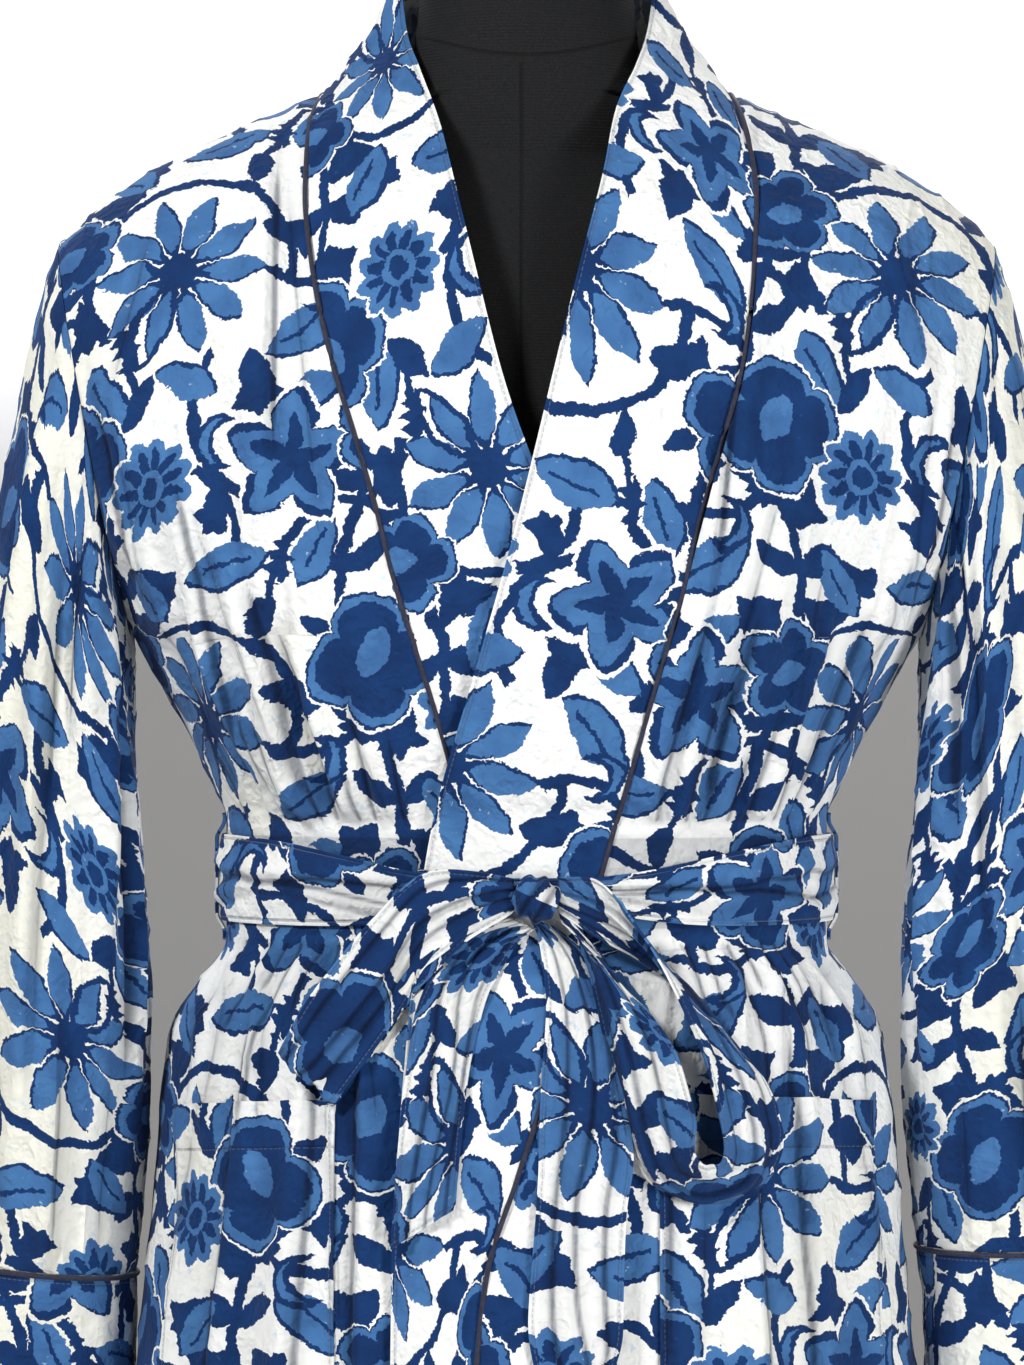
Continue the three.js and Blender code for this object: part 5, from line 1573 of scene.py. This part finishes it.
def placed(x, y, at_x, at_y, turn):
    """x and y counted from a motif's own middle, with the motif turned by some degrees."""
    c, s = math.cos(math.radians(turn)), math.sin(math.radians(turn))
    along = multiply_add(x, c, multiply_add(y, s, -at_x * c - at_y * s))
    aside = multiply_add(y, c, multiply_add(x, -s, at_x * s - at_y * c))
    return along, aside


def pointed_oval(along, aside, half_length, half_width):
    """How far inside a leaf's outline a place is, in mm."""
    radius = (half_length**2 + half_width**2) / (2 * half_width)
    return radius - distance(absolute(aside) + (radius - half_width), along)


class Ink:
    """The two inks of the print so far, each 0 or 1 at a place."""

    def __init__(self, zero):
        self.mid, self.dark = zero, zero

    def blue(self, shape):
        self.mid = larger(self.mid, shape)

    def navy(self, shape):
        self.dark = larger(self.dark, shape)

    def clear(self, shape):
        bare = 1.0 - shape
        self.dark = self.dark * bare
        self.mid = self.mid * bare

    def lift(self, shape):
        self.dark = self.dark * (1.0 - shape)

    def shaded(self, inside, shade):
        """A mid-blue shape on a navy one, which shows past its edge."""
        self.navy(shade > 0)
        self.lift(inside > 0)
        self.blue(inside > 0)


# Each motif is given the ink and a place counted from its own middle, then its sizes in mm.


def leaf(ink, along, aside, half_length, half_width, rib):
    """A mid-blue leaf with a navy rib and a navy edge that is thicker on one side."""
    inside = pointed_oval(along, aside, half_length, half_width)
    ink.shaded(inside, pointed_oval(along, aside + 1.0, half_length + 1.6, half_width + 1.0))
    if rib:
        ink.navy((absolute(aside - 0.8) < 1.0) * (absolute(along) < half_length * 0.6))


def dark_leaf(ink, along, aside, half_length, half_width, lobed):
    """A navy leaf, plain or with a second blade across it, as on ivy."""
    shape = pointed_oval(along, aside, half_length, half_width)
    if lobed:
        back = multiply_add(absolute(aside), 0.35, along + half_length * 0.3)
        shape = larger(shape, pointed_oval(aside, back, half_length * 0.85, half_width * 0.75))
    ink.navy(shape > 0)


def petals(x, y, count, inner, outer, width, lean=0.0, start=0.2):
    """How far inside one of a ring of pointed petals a place is, and how far from its middle."""
    reach = distance(x, y)
    step = 2 * math.pi / count
    turn = wrap(angle_of(y, x) + start, step / 2, -step / 2)
    aside = multiply_add(reach, turn, lean)
    return pointed_oval(reach - (inner + outer) / 2, aside, (outer - inner) / 2, width), reach


def daisy(ink, along, aside, size, count):
    """Long petals with a navy edge on one side, round a navy heart."""
    width = size * 1.5 / count
    inside, reach = petals(along, aside, count, size * 0.27, size, width)
    shade, _ = petals(along, aside, count, size * 0.16, size + 1.2, width + 0.8, 1.0)
    ink.clear(reach < size * 0.8)
    ink.shaded(inside, shade)
    ink.navy(reach < size * 0.22)


def looped(ink, along, aside, half_length, half_width):
    """A navy stem that runs in a pointed loop."""
    ink.navy(absolute(pointed_oval(along, aside, half_length, half_width)) < 1.5)


def feathered(ink, along, aside, half_length):
    """A navy leaf with a toothed blade on both sides of a long stalk."""
    teeth = multiply_add(absolute(wrap(along, 3.2, -3.2)), -1.6, 0.0)
    blade = pointed_oval(along - half_length * 0.25, aside, half_length * 0.75, 8.0)
    stalk = (absolute(aside) < 1.7) * (absolute(along) < half_length)
    ink.navy(larger(blade + teeth > 0, stalk))


def hook(ink, along, aside, size):
    """A mid-blue comma with a navy back."""
    outer = size - distance(along, aside)
    bite = distance(along - size * 0.42, aside + size * 0.3)
    shape = smaller(outer, bite - size * 0.78)
    ink.navy(shape > 0)
    ink.blue(shape > 2.6)
    ink.lift(shape > 2.6)


def broad_flower(ink, along, aside, size, lobes):
    """A navy flower of uneven broad lobes with a mid-blue rim, and a mid-blue drop in it."""
    reach = distance(along, aside)
    around = angle_of(aside, along)
    ripple = power(absolute(sine(around * (lobes / 2) + 0.4)), 0.6)
    uneven = multiply_add(sine(around + 1.0), size * 0.1, size * 0.68)
    edge = multiply_add(ripple, size * 0.28, uneven)
    ink.clear(reach < edge + 2.0)
    ink.navy(reach < edge + 0.7)
    ink.lift(reach < edge - 0.6)
    ink.blue(reach < edge)
    ink.navy(reach < edge - 4.2)
    drop = pointed_oval(along - size * 0.16, aside - size * 0.1, size * 0.38, size * 0.22)
    ink.lift(drop > 0)


def star_flower(ink, along, aside, size):
    """Five broad pointed petals with a navy edge, round a navy star."""
    inside, reach = petals(along, aside, 5, -size * 0.12, size, size * 0.33, start=0.0)
    shade, _ = petals(along, aside, 5, -size * 0.12, size + 3.0, size * 0.33 + 3.0, 2.4, 0.0)
    heart, _ = petals(along, aside, 5, -size * 0.2, size * 0.66, size * 0.16, 1.0, 0.0)
    ink.clear(shade > -2.2)
    ink.shaded(inside, shade)
    ink.navy(larger(heart > 0, reach < size * 0.22))


def carnation(ink, along, aside, size):
    """A fan of toothed petals with navy rays and a paler ring."""
    reach = distance(along, aside)
    teeth = absolute(sine(angle_of(aside, along) * 5.5))
    edge = multiply_add(teeth, size * 0.22, size * 0.78)
    ink.clear(reach < edge + 2.0)
    ink.blue(reach < edge)
    ink.navy(reach < multiply_add(teeth, size * 0.45, size * 0.34))
    ink.lift(absolute(reach - size * 0.3) < 1.5)


def curved_stem(ink, along, aside, radius, half_width, cut_at):
    """A stem on part of a circle: what lies past cut_at shows."""
    reach = distance(along, aside)
    ink.navy((absolute(reach - radius) < half_width) * (along > cut_at))


# The vine between the columns sways about its line, with leaves at each side of it.
VINE_SWAY, VINE_OFF, VINE_HALF_WIDTH = 14.0, 3.0, 2.7
VINE_LEAF_HALF_STEP, VINE_LEAF_OUT = 18.0, 10.5
VINE_LEAF = (12.5, 6.0)
VINE_LEAF_COS, VINE_LEAF_SIN = 0.8, 0.6

# The motifs in the order of printing: what, where, and for each one x, y, turn and its sizes.
# A place is in the first column or between the columns.
COLUMN, BETWEEN = 0, 1
MOTIFS = [
    (curved_stem, COLUMN, [
        (-14, 48, 100, 49, 2.5, -20), (28, -24, 205, 40, 2.6, 14), (-28, -80, 40, 36, 2.6, 10),
        (44, 66, 300, 30, 2.6, 10),
    ]),
    (curved_stem, BETWEEN, [(-14, 66, 120, 30, 2.6, 10)]),
    (dark_leaf, COLUMN, [
        (20, -10, 100, 15.7, 7.9, True), (-40, -12, 50, 14.6, 6.1, False),
        (68, -8, 20, 15.7, 8.5, True), (-66, -60, 95, 16.8, 8.5, True),
        (36, 62, 165, 14.6, 7.9, True), (-46, 101, 30, 16.8, 9.2, True),
        (20, 100, 80, 12.3, 6.1, False), (-36, -96, 150, 14.6, 7.9, True),
        (-2, -66, 60, 11.2, 6.1, True), (-66, 34, 100, 13.4, 7.3, True),
        (70, 52, 75, 13.4, 7.3, True),
    ]),
    (leaf, COLUMN, [
        (42, 14, 35, 20, 9.5, True), (-57, -6, 112, 19, 9, True), (4, -92, 12, 20, 9.5, True),
        (-14, -8, 158, 16, 7.5, False), (60, 86, 62, 16, 8, False),
    ]),
    (leaf, BETWEEN, [
        (-29, 74, 60, 17, 8.5, True), (33, -46, 128, 18, 9, True), (-32, -70, 28, 15, 7.5, False),
    ]),
    (feathered, BETWEEN, [(30, 66, 100, 21)]),
    (feathered, COLUMN, [(28, -96, 70, 17)]),
    (hook, COLUMN, [(2, -36, 20, 13)]),
    (hook, BETWEEN, [(-26, -22, 200, 12)]),
    (daisy, COLUMN, [(-18, 46, 8, 42, 10)]),
    (looped, COLUMN, [(-31, 22, 62, 20, 8.5)]),
    (broad_flower, BETWEEN, [(-2, 20, 64, 32, 4)]),
    (star_flower, COLUMN, [(36, -46, 18, 30)]),
    (carnation, COLUMN, [(-34, -50, 30, 22)]),
    (broad_flower, BETWEEN, [(6, -86, 200, 25, 5)]),
]


def printed(u, v):
    """The mid-blue and navy inks at a place of the cloth in mm. Each column drops by half."""
    half_w, half_h = REPEAT_WIDTH / 2, REPEAT_HEIGHT / 2
    u, v = u * (1 / PRINT_SCALE), v * (1 / PRINT_SCALE)

    def column(shift_x, shift_y):
        index = nearest((u - shift_x) * (1 / REPEAT_WIDTH))
        x = multiply_add(index, -REPEAT_WIDTH, u - shift_x)
        y = wrap(multiply_add(parity(index), half_h, v - shift_y), half_h, -half_h)
        return x, y

    places = column(0, 0), column(half_w, half_h / 2)
    ink = Ink(places[COLUMN][0] * 0.0)
    x, y = places[BETWEEN]
    vine = multiply_add(sine(y * (2 * math.pi / REPEAT_HEIGHT)), VINE_SWAY, x + VINE_OFF)
    ink.navy(absolute(vine) < VINE_HALF_WIDTH)
    step = wrap(y, VINE_LEAF_HALF_STEP, -VINE_LEAF_HALF_STEP)
    out = absolute(vine) - VINE_LEAF_OUT
    along = multiply_add(out, VINE_LEAF_COS, step * VINE_LEAF_SIN)
    aside = multiply_add(step, VINE_LEAF_COS, out * -VINE_LEAF_SIN)
    ink.navy(pointed_oval(along, aside, *VINE_LEAF) > 0)
    for motif, where, rows in MOTIFS:
        for at_x, at_y, turn, *sizes in rows:
            motif(ink, *placed(*places[where], at_x, at_y, turn), *sizes)
    return ink.mid, ink.dark


# ---- Node helpers and the shared groups ----


def fill(node, **inputs):
    """Sets or links a node's inputs, by name with _ for a space."""
    for name, value in inputs.items():
        put(node.inputs[name.replace("_", " ")], value)


def node_in(tree, kind, settings=None, **inputs):
    node = tree.nodes.new(kind)
    for name, value in (settings or {}).items():
        setattr(node, name, value)
    fill(node, **inputs)
    return node


def new_group(name, inputs, outputs):
    tree = bpy.data.node_groups.new(name, "ShaderNodeTree")
    for label, kind in inputs:
        tree.interface.new_socket(label, in_out="INPUT", socket_type=kind)
    for label, kind in outputs:
        tree.interface.new_socket(label, in_out="OUTPUT", socket_type=kind)
    return tree, tree.nodes.new("NodeGroupInput").outputs, tree.nodes.new("NodeGroupOutput").inputs


def placed_group(tree, group, **inputs):
    return node_in(tree, "ShaderNodeGroup", {"node_tree": group}, **inputs).outputs


def noise_in(tree, vector, scale, detail=2.0, roughness=0.5):
    """Cloudy values from 0 to 1, with `scale` clouds a metre, and the same as a colour."""
    node = node_in(
        tree, "ShaderNodeTexNoise", Vector=vector, Scale=scale, Detail=detail, Roughness=roughness
    )
    return Field(node.outputs["Fac"]), node.outputs["Color"]


def ramp(field, low, high):
    """0 below low and 1 above high, smooth between them."""
    smoothly = {"interpolation_type": "SMOOTHSTEP"}
    node = node_in(
        field.tree, "ShaderNodeMapRange", smoothly, Value=field, From_Min=low, From_Max=high
    )
    return Field(node.outputs["Result"])


def blended(tree, share, first, second, blend_type="MIX"):
    node = tree.nodes.new("ShaderNodeMix")
    node.data_type, node.blend_type, node.clamp_factor = "RGBA", blend_type, True
    put(node.inputs[0], share)
    put(node.inputs[6], first)
    put(node.inputs[7], second)
    return node.outputs[2]


def parts(tree, vector, scale=1000.0):
    """x, y and z of a vector, in mm."""
    node = node_in(tree, "ShaderNodeSeparateXYZ", Vector=vector)
    return [Field(output) * scale for output in node.outputs]


def uv_map(tree, name):
    return node_in(tree, "ShaderNodeUVMap", {"uv_map": name}).outputs[0]


def object_place(tree):
    return tree.nodes.new("ShaderNodeTexCoord").outputs["Object"]


PRINT_WANDER, PRINT_ROUGHNESS = 9.0, 4.2  # mm, of the printed edges


def print_group():
    tree, given, out = new_group(
        "hand print",
        [("Cloth", "NodeSocketVector")],
        [("Mid blue", "NodeSocketFloat"), ("Navy", "NodeSocketFloat")],
    )
    _, coarse = noise_in(tree, given["Cloth"], 55.0, 1.0)
    _, rough = noise_in(tree, given["Cloth"], 380.0, 2.0)
    u, v, _ = parts(tree, given["Cloth"])
    cu, cv, _ = parts(tree, coarse, PRINT_WANDER)
    ru, rv, _ = parts(tree, rough, PRINT_ROUGHNESS)
    mid, navy = printed(u + cu + ru, v + cv + rv)
    put(out["Mid blue"], mid)
    put(out["Navy"], navy)
    return tree


STITCH_IN, STITCH_LENGTH, THREAD_HALF_WIDTH = 2.4, 3.2, 0.32


def stitch_group():
    """Two lines of running stitch beside the stitched edges, from the edge and cloth maps."""
    tree, given, out = new_group(
        "running stitch",
        [("Edge", "NodeSocketVector"), ("Cloth", "NodeSocketVector")],
        [("Thread", "NodeSocketFloat"), ("Groove", "NodeSocketFloat")],
    )
    side, end, _ = parts(tree, given["Edge"])
    across, along, _ = parts(tree, given["Cloth"])
    lines = []
    for away, run in ((side, along), (end, across)):
        line = absolute(away - STITCH_IN)
        dash = sine(run * (2 * math.pi / STITCH_LENGTH)) > -0.55
        lines.append(((line < THREAD_HALF_WIDTH) * dash, 1.0 - ramp(line, 0.2, 1.6)))
    (side_thread, side_groove), (end_thread, end_groove) = lines
    put(out["Thread"], larger(side_thread, end_thread))
    put(out["Groove"], larger(side_groove, end_groove))
    return tree


def weave_group():
    """The height of a plain weave and of the small crinkles in washed cloth, in mm."""
    tree, given, out = new_group(
        "washed weave",
        [("Cloth", "NodeSocketVector"), ("Place", "NodeSocketVector")],
        [("Height", "NodeSocketFloat")],
    )
    across, along, _ = parts(tree, given["Cloth"])
    crinkle, _ = noise_in(tree, given["Place"], 75.0, 2.5, 0.55)
    fold = 1.0 - absolute(crinkle - 0.5) * 5.0
    slub, _ = noise_in(tree, given["Place"], 300.0, 1.0)
    thread = sine(across * 9.0) * sine(along * 9.0)
    put(out["Height"], larger(fold, 0.0) * 0.75 + slub * 0.35 + thread * 0.03)
    return tree


# ---- Finishes ----

GROUND, CREAM = (0.90, 0.905, 0.88, 1), (0.82, 0.81, 0.69, 1)
MID_BLUE, MID_BLUE_DEEP = (0.062, 0.178, 0.400, 1), (0.044, 0.130, 0.320, 1)
NAVY, NAVY_DEEP = (0.0070, 0.040, 0.150, 1), (0.0050, 0.028, 0.110, 1)
LEAK = (0.50, 0.66, 0.80, 1)
THREAD = (0.16, 0.19, 0.27, 1)
# the colour of the painted shade at the feet of tucks and creases
PAINTED_CREASE_SHADE = (0.30, 0.31, 0.34, 1)
PIPING_NAVY, PIPING_WORN = (0.010, 0.010, 0.026, 1), (0.022, 0.024, 0.058, 1)
JERSEY, JERSEY_FUZZ = (0.0060, 0.0062, 0.0068, 1), (0.0150, 0.0153, 0.0165, 1)
JERSEY_SEAM = (0.002, 0.002, 0.0024, 1)
METAL, METAL_DUST = (0.016, 0.016, 0.018, 1), (0.05, 0.049, 0.047, 1)


def surface(name):
    material = bpy.data.materials.new(name)
    material.use_nodes = True
    tree = material.node_tree
    tree.nodes.clear()
    shader = tree.nodes.new("ShaderNodeBsdfPrincipled")
    out = tree.nodes.new("ShaderNodeOutputMaterial")
    tree.links.new(shader.outputs[0], out.inputs[0])
    return material, tree, shader


def bumped(tree, shader, height, distance):
    bump = node_in(tree, "ShaderNodeBump", Height=height, Distance=distance, Strength=1.0)
    put(shader.inputs["Normal"], bump.outputs[0])


def cotton(name, groups, wrong_side=False):
    material, tree, shader = surface(name)
    cloth, edge = uv_map(tree, "cloth"), uv_map(tree, "edge")
    place = object_place(tree)
    inks = placed_group(tree, groups["print"], Cloth=cloth)
    stitches = placed_group(tree, groups["stitch"], Edge=edge, Cloth=cloth)
    thread, groove = Field(stitches["Thread"]), Field(stitches["Groove"])
    x, _, _ = parts(tree, place, 1.0)
    stain, _ = noise_in(tree, place, 7.0, 3.0)
    mottle, _ = noise_in(tree, cloth, 160.0, 3.0, 0.65)
    pooled, _ = noise_in(tree, cloth, 38.0, 2.0)
    # the ground is creamier on the sleeves and in clouds, with stains of leaked dye
    toned = ramp(absolute(x) + stain * 0.12, 0.27, 0.36)
    ground = blended(tree, larger(toned * 0.8, ramp(stain, 0.5, 0.75) * 0.6), GROUND, CREAM)
    leak = ramp(mottle, 0.53, 0.70) * ramp(pooled, 0.47, 0.65)
    ground = blended(tree, leak * 0.75, ground, LEAK)
    # the inks pool and leave specks
    speck = ramp(mottle, 0.66, 0.72) * 0.55
    mid = blended(tree, ramp(pooled, 0.35, 0.7), MID_BLUE, MID_BLUE_DEEP)
    mid = blended(tree, speck, mid, LEAK)
    navy = blended(tree, ramp(pooled, 0.3, 0.7), NAVY, NAVY_DEEP)
    navy = blended(tree, speck * 0.35, navy, MID_BLUE)
    strength = 0.6 if wrong_side else 1.0
    colour = blended(tree, Field(inks["Mid blue"]) * strength, ground, mid)
    colour = blended(tree, Field(inks["Navy"]) * strength, colour, navy)
    # painted shade in the grooves beside the stitching
    colour = blended(tree, groove * 0.10, colour, NAVY_DEEP)
    colour = blended(tree, thread * 0.42, colour, THREAD)
    # painted shade: the feet of the tucks, creases and gathers and the places beside the belt and
    # the bow's knot are darkened, with a softer painted shade beside them, uneven in clouds
    foot, _, _ = parts(tree, uv_map(tree, "pleat"))
    shade_unevenness = mottle * 0.5 + 0.62
    dark = (1.0 - ramp(foot, 0.3, 2.6)) * shade_unevenness * 0.85 + (1.0 - ramp(foot, 0.5, 9.0)) * 0.3
    colour = blended(tree, dark, colour, PAINTED_CREASE_SHADE, "MULTIPLY")
    fill(
        shader, Base_Color=colour, Roughness=mottle * 0.12 + 0.76, Sheen_Weight=0.05,
        Sheen_Roughness=0.5, Specular_IOR_Level=0.12,
    )
    weave = placed_group(tree, groups["weave"], Cloth=cloth, Place=place)
    height = Field(weave["Height"]) - groove * 0.5 + thread * 0.2
    bumped(tree, shader, height, 1.5 * MM)
    return material


def piping_finish():
    material, tree, shader = surface("navy_piping")
    across, along, _ = parts(tree, uv_map(tree, "cloth"))
    mottle, _ = noise_in(tree, object_place(tree), 400.0, 2.0)
    twist = sine(along * 4.2 + across * 0.63)
    colour = blended(tree, ramp(mottle, 0.35, 0.7), PIPING_NAVY, PIPING_WORN)
    fill(shader, Base_Color=colour, Roughness=mottle * 0.15 + 0.68, Sheen_Weight=0.1)
    bumped(tree, shader, twist * 0.12 + mottle * 0.2, 0.5 * MM)
    return material


RIB_STEP = 1.9
CENTRE_SEAM_X = -3.0
NECK_SEAM_Z, NECK_SEAM_RISE, NECK_SEAM_TILT = 1523.0, 0.0042, 0.05
CENTRE_SEAM_TOP = NECK_SEAM_Z - 1.0


def jersey_finish():
    """Black jersey with a seam down the front and one across the foot of the neck."""
    material, tree, shader = surface("form_jersey")
    place = object_place(tree)
    x, y, z = parts(tree, place)
    fuzz, _ = noise_in(tree, place, 900.0, 2.0)
    cloudy, _ = noise_in(tree, place, 18.0, 2.0)
    rib = sine(z * (2 * math.pi / RIB_STEP) + fuzz * 1.2)
    colour = blended(tree, ramp(fuzz, 0.3, 0.8), JERSEY, JERSEY_FUZZ)
    in_front = y < 10.0
    centre = absolute(x - CENTRE_SEAM_X + (cloudy - 0.5) * 1.5) + (z > CENTRE_SEAM_TOP) * 40.0
    neck = absolute(z - NECK_SEAM_Z - x * x * NECK_SEAM_RISE + y * NECK_SEAM_TILT)
    seam = (1.0 - ramp(smaller(centre, neck), 0.3, 1.7)) * in_front
    colour = blended(tree, seam * 0.6, colour, JERSEY_SEAM)
    fill(
        shader, Base_Color=colour, Roughness=fuzz * 0.15 + 0.8, Sheen_Weight=0.04,
        Specular_IOR_Level=0.2,
    )
    bumped(tree, shader, rib * 0.1 + fuzz * 0.15 + cloudy * 0.4 - seam * 0.9, 0.8 * MM)
    return material


def stand_finish():
    material, tree, shader = surface("stand_metal")
    place = object_place(tree)
    peel, _ = noise_in(tree, place, 260.0, 2.0)
    dust, _ = noise_in(tree, place, 14.0, 3.0)
    colour = blended(tree, ramp(dust, 0.5, 0.8) * 0.5, METAL, METAL_DUST)
    rough = ramp(dust, 0.4, 0.8) * 0.2 + 0.33
    fill(shader, Base_Color=colour, Roughness=rough, Metallic=0.0, Coat_Weight=0.2)
    bumped(tree, shader, peel * 0.12, 0.5 * MM)
    return material


def studio_finish(name, light, dark):
    """A pale backdrop with painted shade that makes it a little darker low down and to the right.
    """
    material, tree, shader = surface(name)
    place = object_place(tree)
    x, _, z = parts(tree, place, 1.0)
    shade = ramp(x * 0.1 - z + 1.6, -0.02, 0.42)
    cloudy, _ = noise_in(tree, place, 1.2, 1.0)
    put(shader.inputs["Base Color"], blended(tree, shade + cloudy * 0.08, light, dark))
    shader.inputs["Roughness"].default_value = 0.9
    behind = Field(tree.nodes.new("ShaderNodeNewGeometry").outputs["Backfacing"])
    put(shader.inputs["Alpha"], 1.0 - behind)  # so that the robe's back can be seen from outside
    return material


groups = {"print": print_group(), "stitch": stitch_group(), "weave": weave_group()}
finishes["printed_cotton"] = cotton("printed_cotton", groups)
finishes["cotton_wrong_side"] = cotton("cotton_wrong_side", groups, wrong_side=True)
finishes["navy_piping"] = piping_finish()
finishes["form_jersey"] = jersey_finish()
finishes["stand_metal"] = stand_finish()

# ---- Making and attaching the pieces ----

# The cut of each cloth piece: width, length and area in metres, how it is held, and what it
# rests on. The area is left out where the cut is a rectangle.
CUTS = {
    "back": ((0.62, 1.26), 0.66, "hung", ["form_body", "sleeve_left", "sleeve_right"]),
    "front_left": ((0.30, 1.24), 0.31, "hung", ["form_body", "band_left"]),
    "front_right": ((0.30, 1.24), 0.31, "hung", ["form_body", "band_right"]),
    "band_left": ((0.102, 1.50), None, "folded", ["front_left", "form_body"]),
    "band_right": ((0.102, 1.50), None, "folded", ["front_right", "form_body"]),
    "sleeve_left": ((0.52, 0.59), 0.24, "hung", ["back", "front_left"]),
    "sleeve_right": ((0.52, 0.60), 0.24, "hung", ["back", "front_right"]),
    "cuff_left": ((0.39, 0.08), None, "folded", ["sleeve_left"]),
    "cuff_right": ((0.39, 0.08), None, "folded", ["sleeve_right"]),
    "pocket_left": ((0.15, 0.19), None, "hung", ["front_left"]),
    "pocket_right": ((0.13, 0.19), None, "hung", ["front_right"]),
    "belt": ((0.052, 1.02), None, "stretched", ["front_left", "front_right", "back"]),
    "belt_carrier_left": ((0.010, 0.078), None, "stretched", ["back"]),
    "belt_carrier_right": ((0.010, 0.078), None, "stretched", ["back"]),
    "bow_loop_left": ((0.036, 0.40), None, "folded", ["bow_knot"]),
    "bow_loop_right": ((0.036, 0.36), None, "folded", ["bow_knot"]),
    "bow_tail_left": ((0.042, 0.27), None, "hung", ["bow_knot"]),
    "bow_tail_right": ((0.033, 0.19), None, "hung", ["bow_knot"]),
    "bow_knot": ((0.028, 0.075), None, "folded", ["belt"]),
}

OTHER_SLOTS = {
    "band_piping_left": "navy_piping",
    "band_piping_right": "navy_piping",
    "cuff_piping_left": "navy_piping",
    "cuff_piping_right": "navy_piping",
    "form_body": "form_jersey",
    "form_neck_cap": "form_jersey",
    "form_pole": "stand_metal",
    "form_base": "stand_metal",
}

pieces = {"back": back_panel(), "belt": belt(), "bow_knot": bow_knot()}
for kind in SIDES:
    pieces[f"front_{kind}"] = front_panel(kind)
    pieces[f"band_{kind}"] = band(kind)
    pieces[f"band_piping_{kind}"] = band_piping(kind)
    pieces[f"sleeve_{kind}"] = sleeve(kind)
    pieces[f"cuff_{kind}"] = cuff(kind)
    pieces[f"cuff_piping_{kind}"] = cuff_piping(kind)
    pieces[f"pocket_{kind}"] = pocket(kind)
    pieces[f"belt_carrier_{kind}"] = belt_carrier(kind)
for name in RIBBONS:
    pieces[name] = ribbon(name)
pieces["form_body"] = ringed("form_trunk", form_rings(), 6)
pieces["form_neck_cap"] = neck_cap()
pieces["form_pole"] = stand_pole()
pieces["form_base"] = stand_base()

for node, piece in pieces.items():
    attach(piece, "root")
    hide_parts(node)
    "printed_cotton" if node in CUTS else OTHER_SLOTS[node]

# ---- Studio ----


STUDIO_HALF, BACKDROP_Y, BACKDROP_FOOT = 4, 2.2, -0.1


def stage_sheet(name, corners, finish):
    mesh = bpy.data.meshes.new(name)
    mesh.from_pydata(corners, [], [(0, 1, 2, 3)])
    mesh.materials.append(finish)
    linked(name, mesh)


# the wall fades from pale to a painted shade low down
pale = studio_finish("studio_wall", (0.93, 0.93, 0.94, 1), (0.25, 0.245, 0.24, 1))
floor = studio_finish("studio_floor", (0.80, 0.80, 0.80, 1), (0.74, 0.74, 0.74, 1))
corners = [(-1, -1), (1, -1), (1, 1), (-1, 1)]
stage_sheet("floor", [(STUDIO_HALF * x, STUDIO_HALF * y, 0) for x, y in corners], floor)
stage_sheet("backdrop", [
    (STUDIO_HALF * x, BACKDROP_Y, BACKDROP_FOOT if y < 0 else STUDIO_HALF) for x, y in corners
], pale)


def softbox(name, place, aim, size, power):
    """A square or oblong light, with its place, aim and size in metres and its power in watts."""
    light = bpy.data.lights.new(name, "AREA")
    light.shape, light.size, light.size_y = "RECTANGLE", *size
    light.energy = power
    lamp = linked(name, light)
    lamp.location = place
    turn = (np.array(aim) - np.array(place)).tolist()
    lamp.rotation_euler = Vector(turn).to_track_quat("-Z", "Y").to_euler()


softbox("key_light", (-1.6, -1.8, 2.7), (0, 0, 1.2), (0.5, 0.5), 64)
softbox("fill_light", (1.8, -2.1, 1.0), (0, 0, 1.05), (0.8, 0.8), 45)
softbox("rear_light", (0, 1.6, 3.2), (0, 2.2, 2.0), (3.0, 1.0), 60)
softbox("back_light", (0.8, 2.0, 1.9), (0, 0, 1.0), (1.6, 1.6), 30)
world = bpy.data.worlds.new("studio")
world.use_nodes = True
air = world.node_tree.nodes["Background"]
air.inputs["Color"].default_value = (0.93, 0.95, 1.0, 1)
air.inputs["Strength"].default_value = 0.19
bpy.context.scene.world = world
bpy.context.scene.view_settings.view_transform = "Standard"

CAMERA_PLACE = (-0.0087, -3.07, 1.1604)  # in metres, level and square to the front
CAMERA_LENS, CAMERA_SENSOR = 136.4, 36
view = bpy.data.cameras.new("camera")
view.lens, view.sensor_width = CAMERA_LENS, CAMERA_SENSOR
camera = linked("camera", view)
camera.location = CAMERA_PLACE
camera.rotation_euler = (math.radians(90), 0, 0)
bpy.context.scene.camera = camera
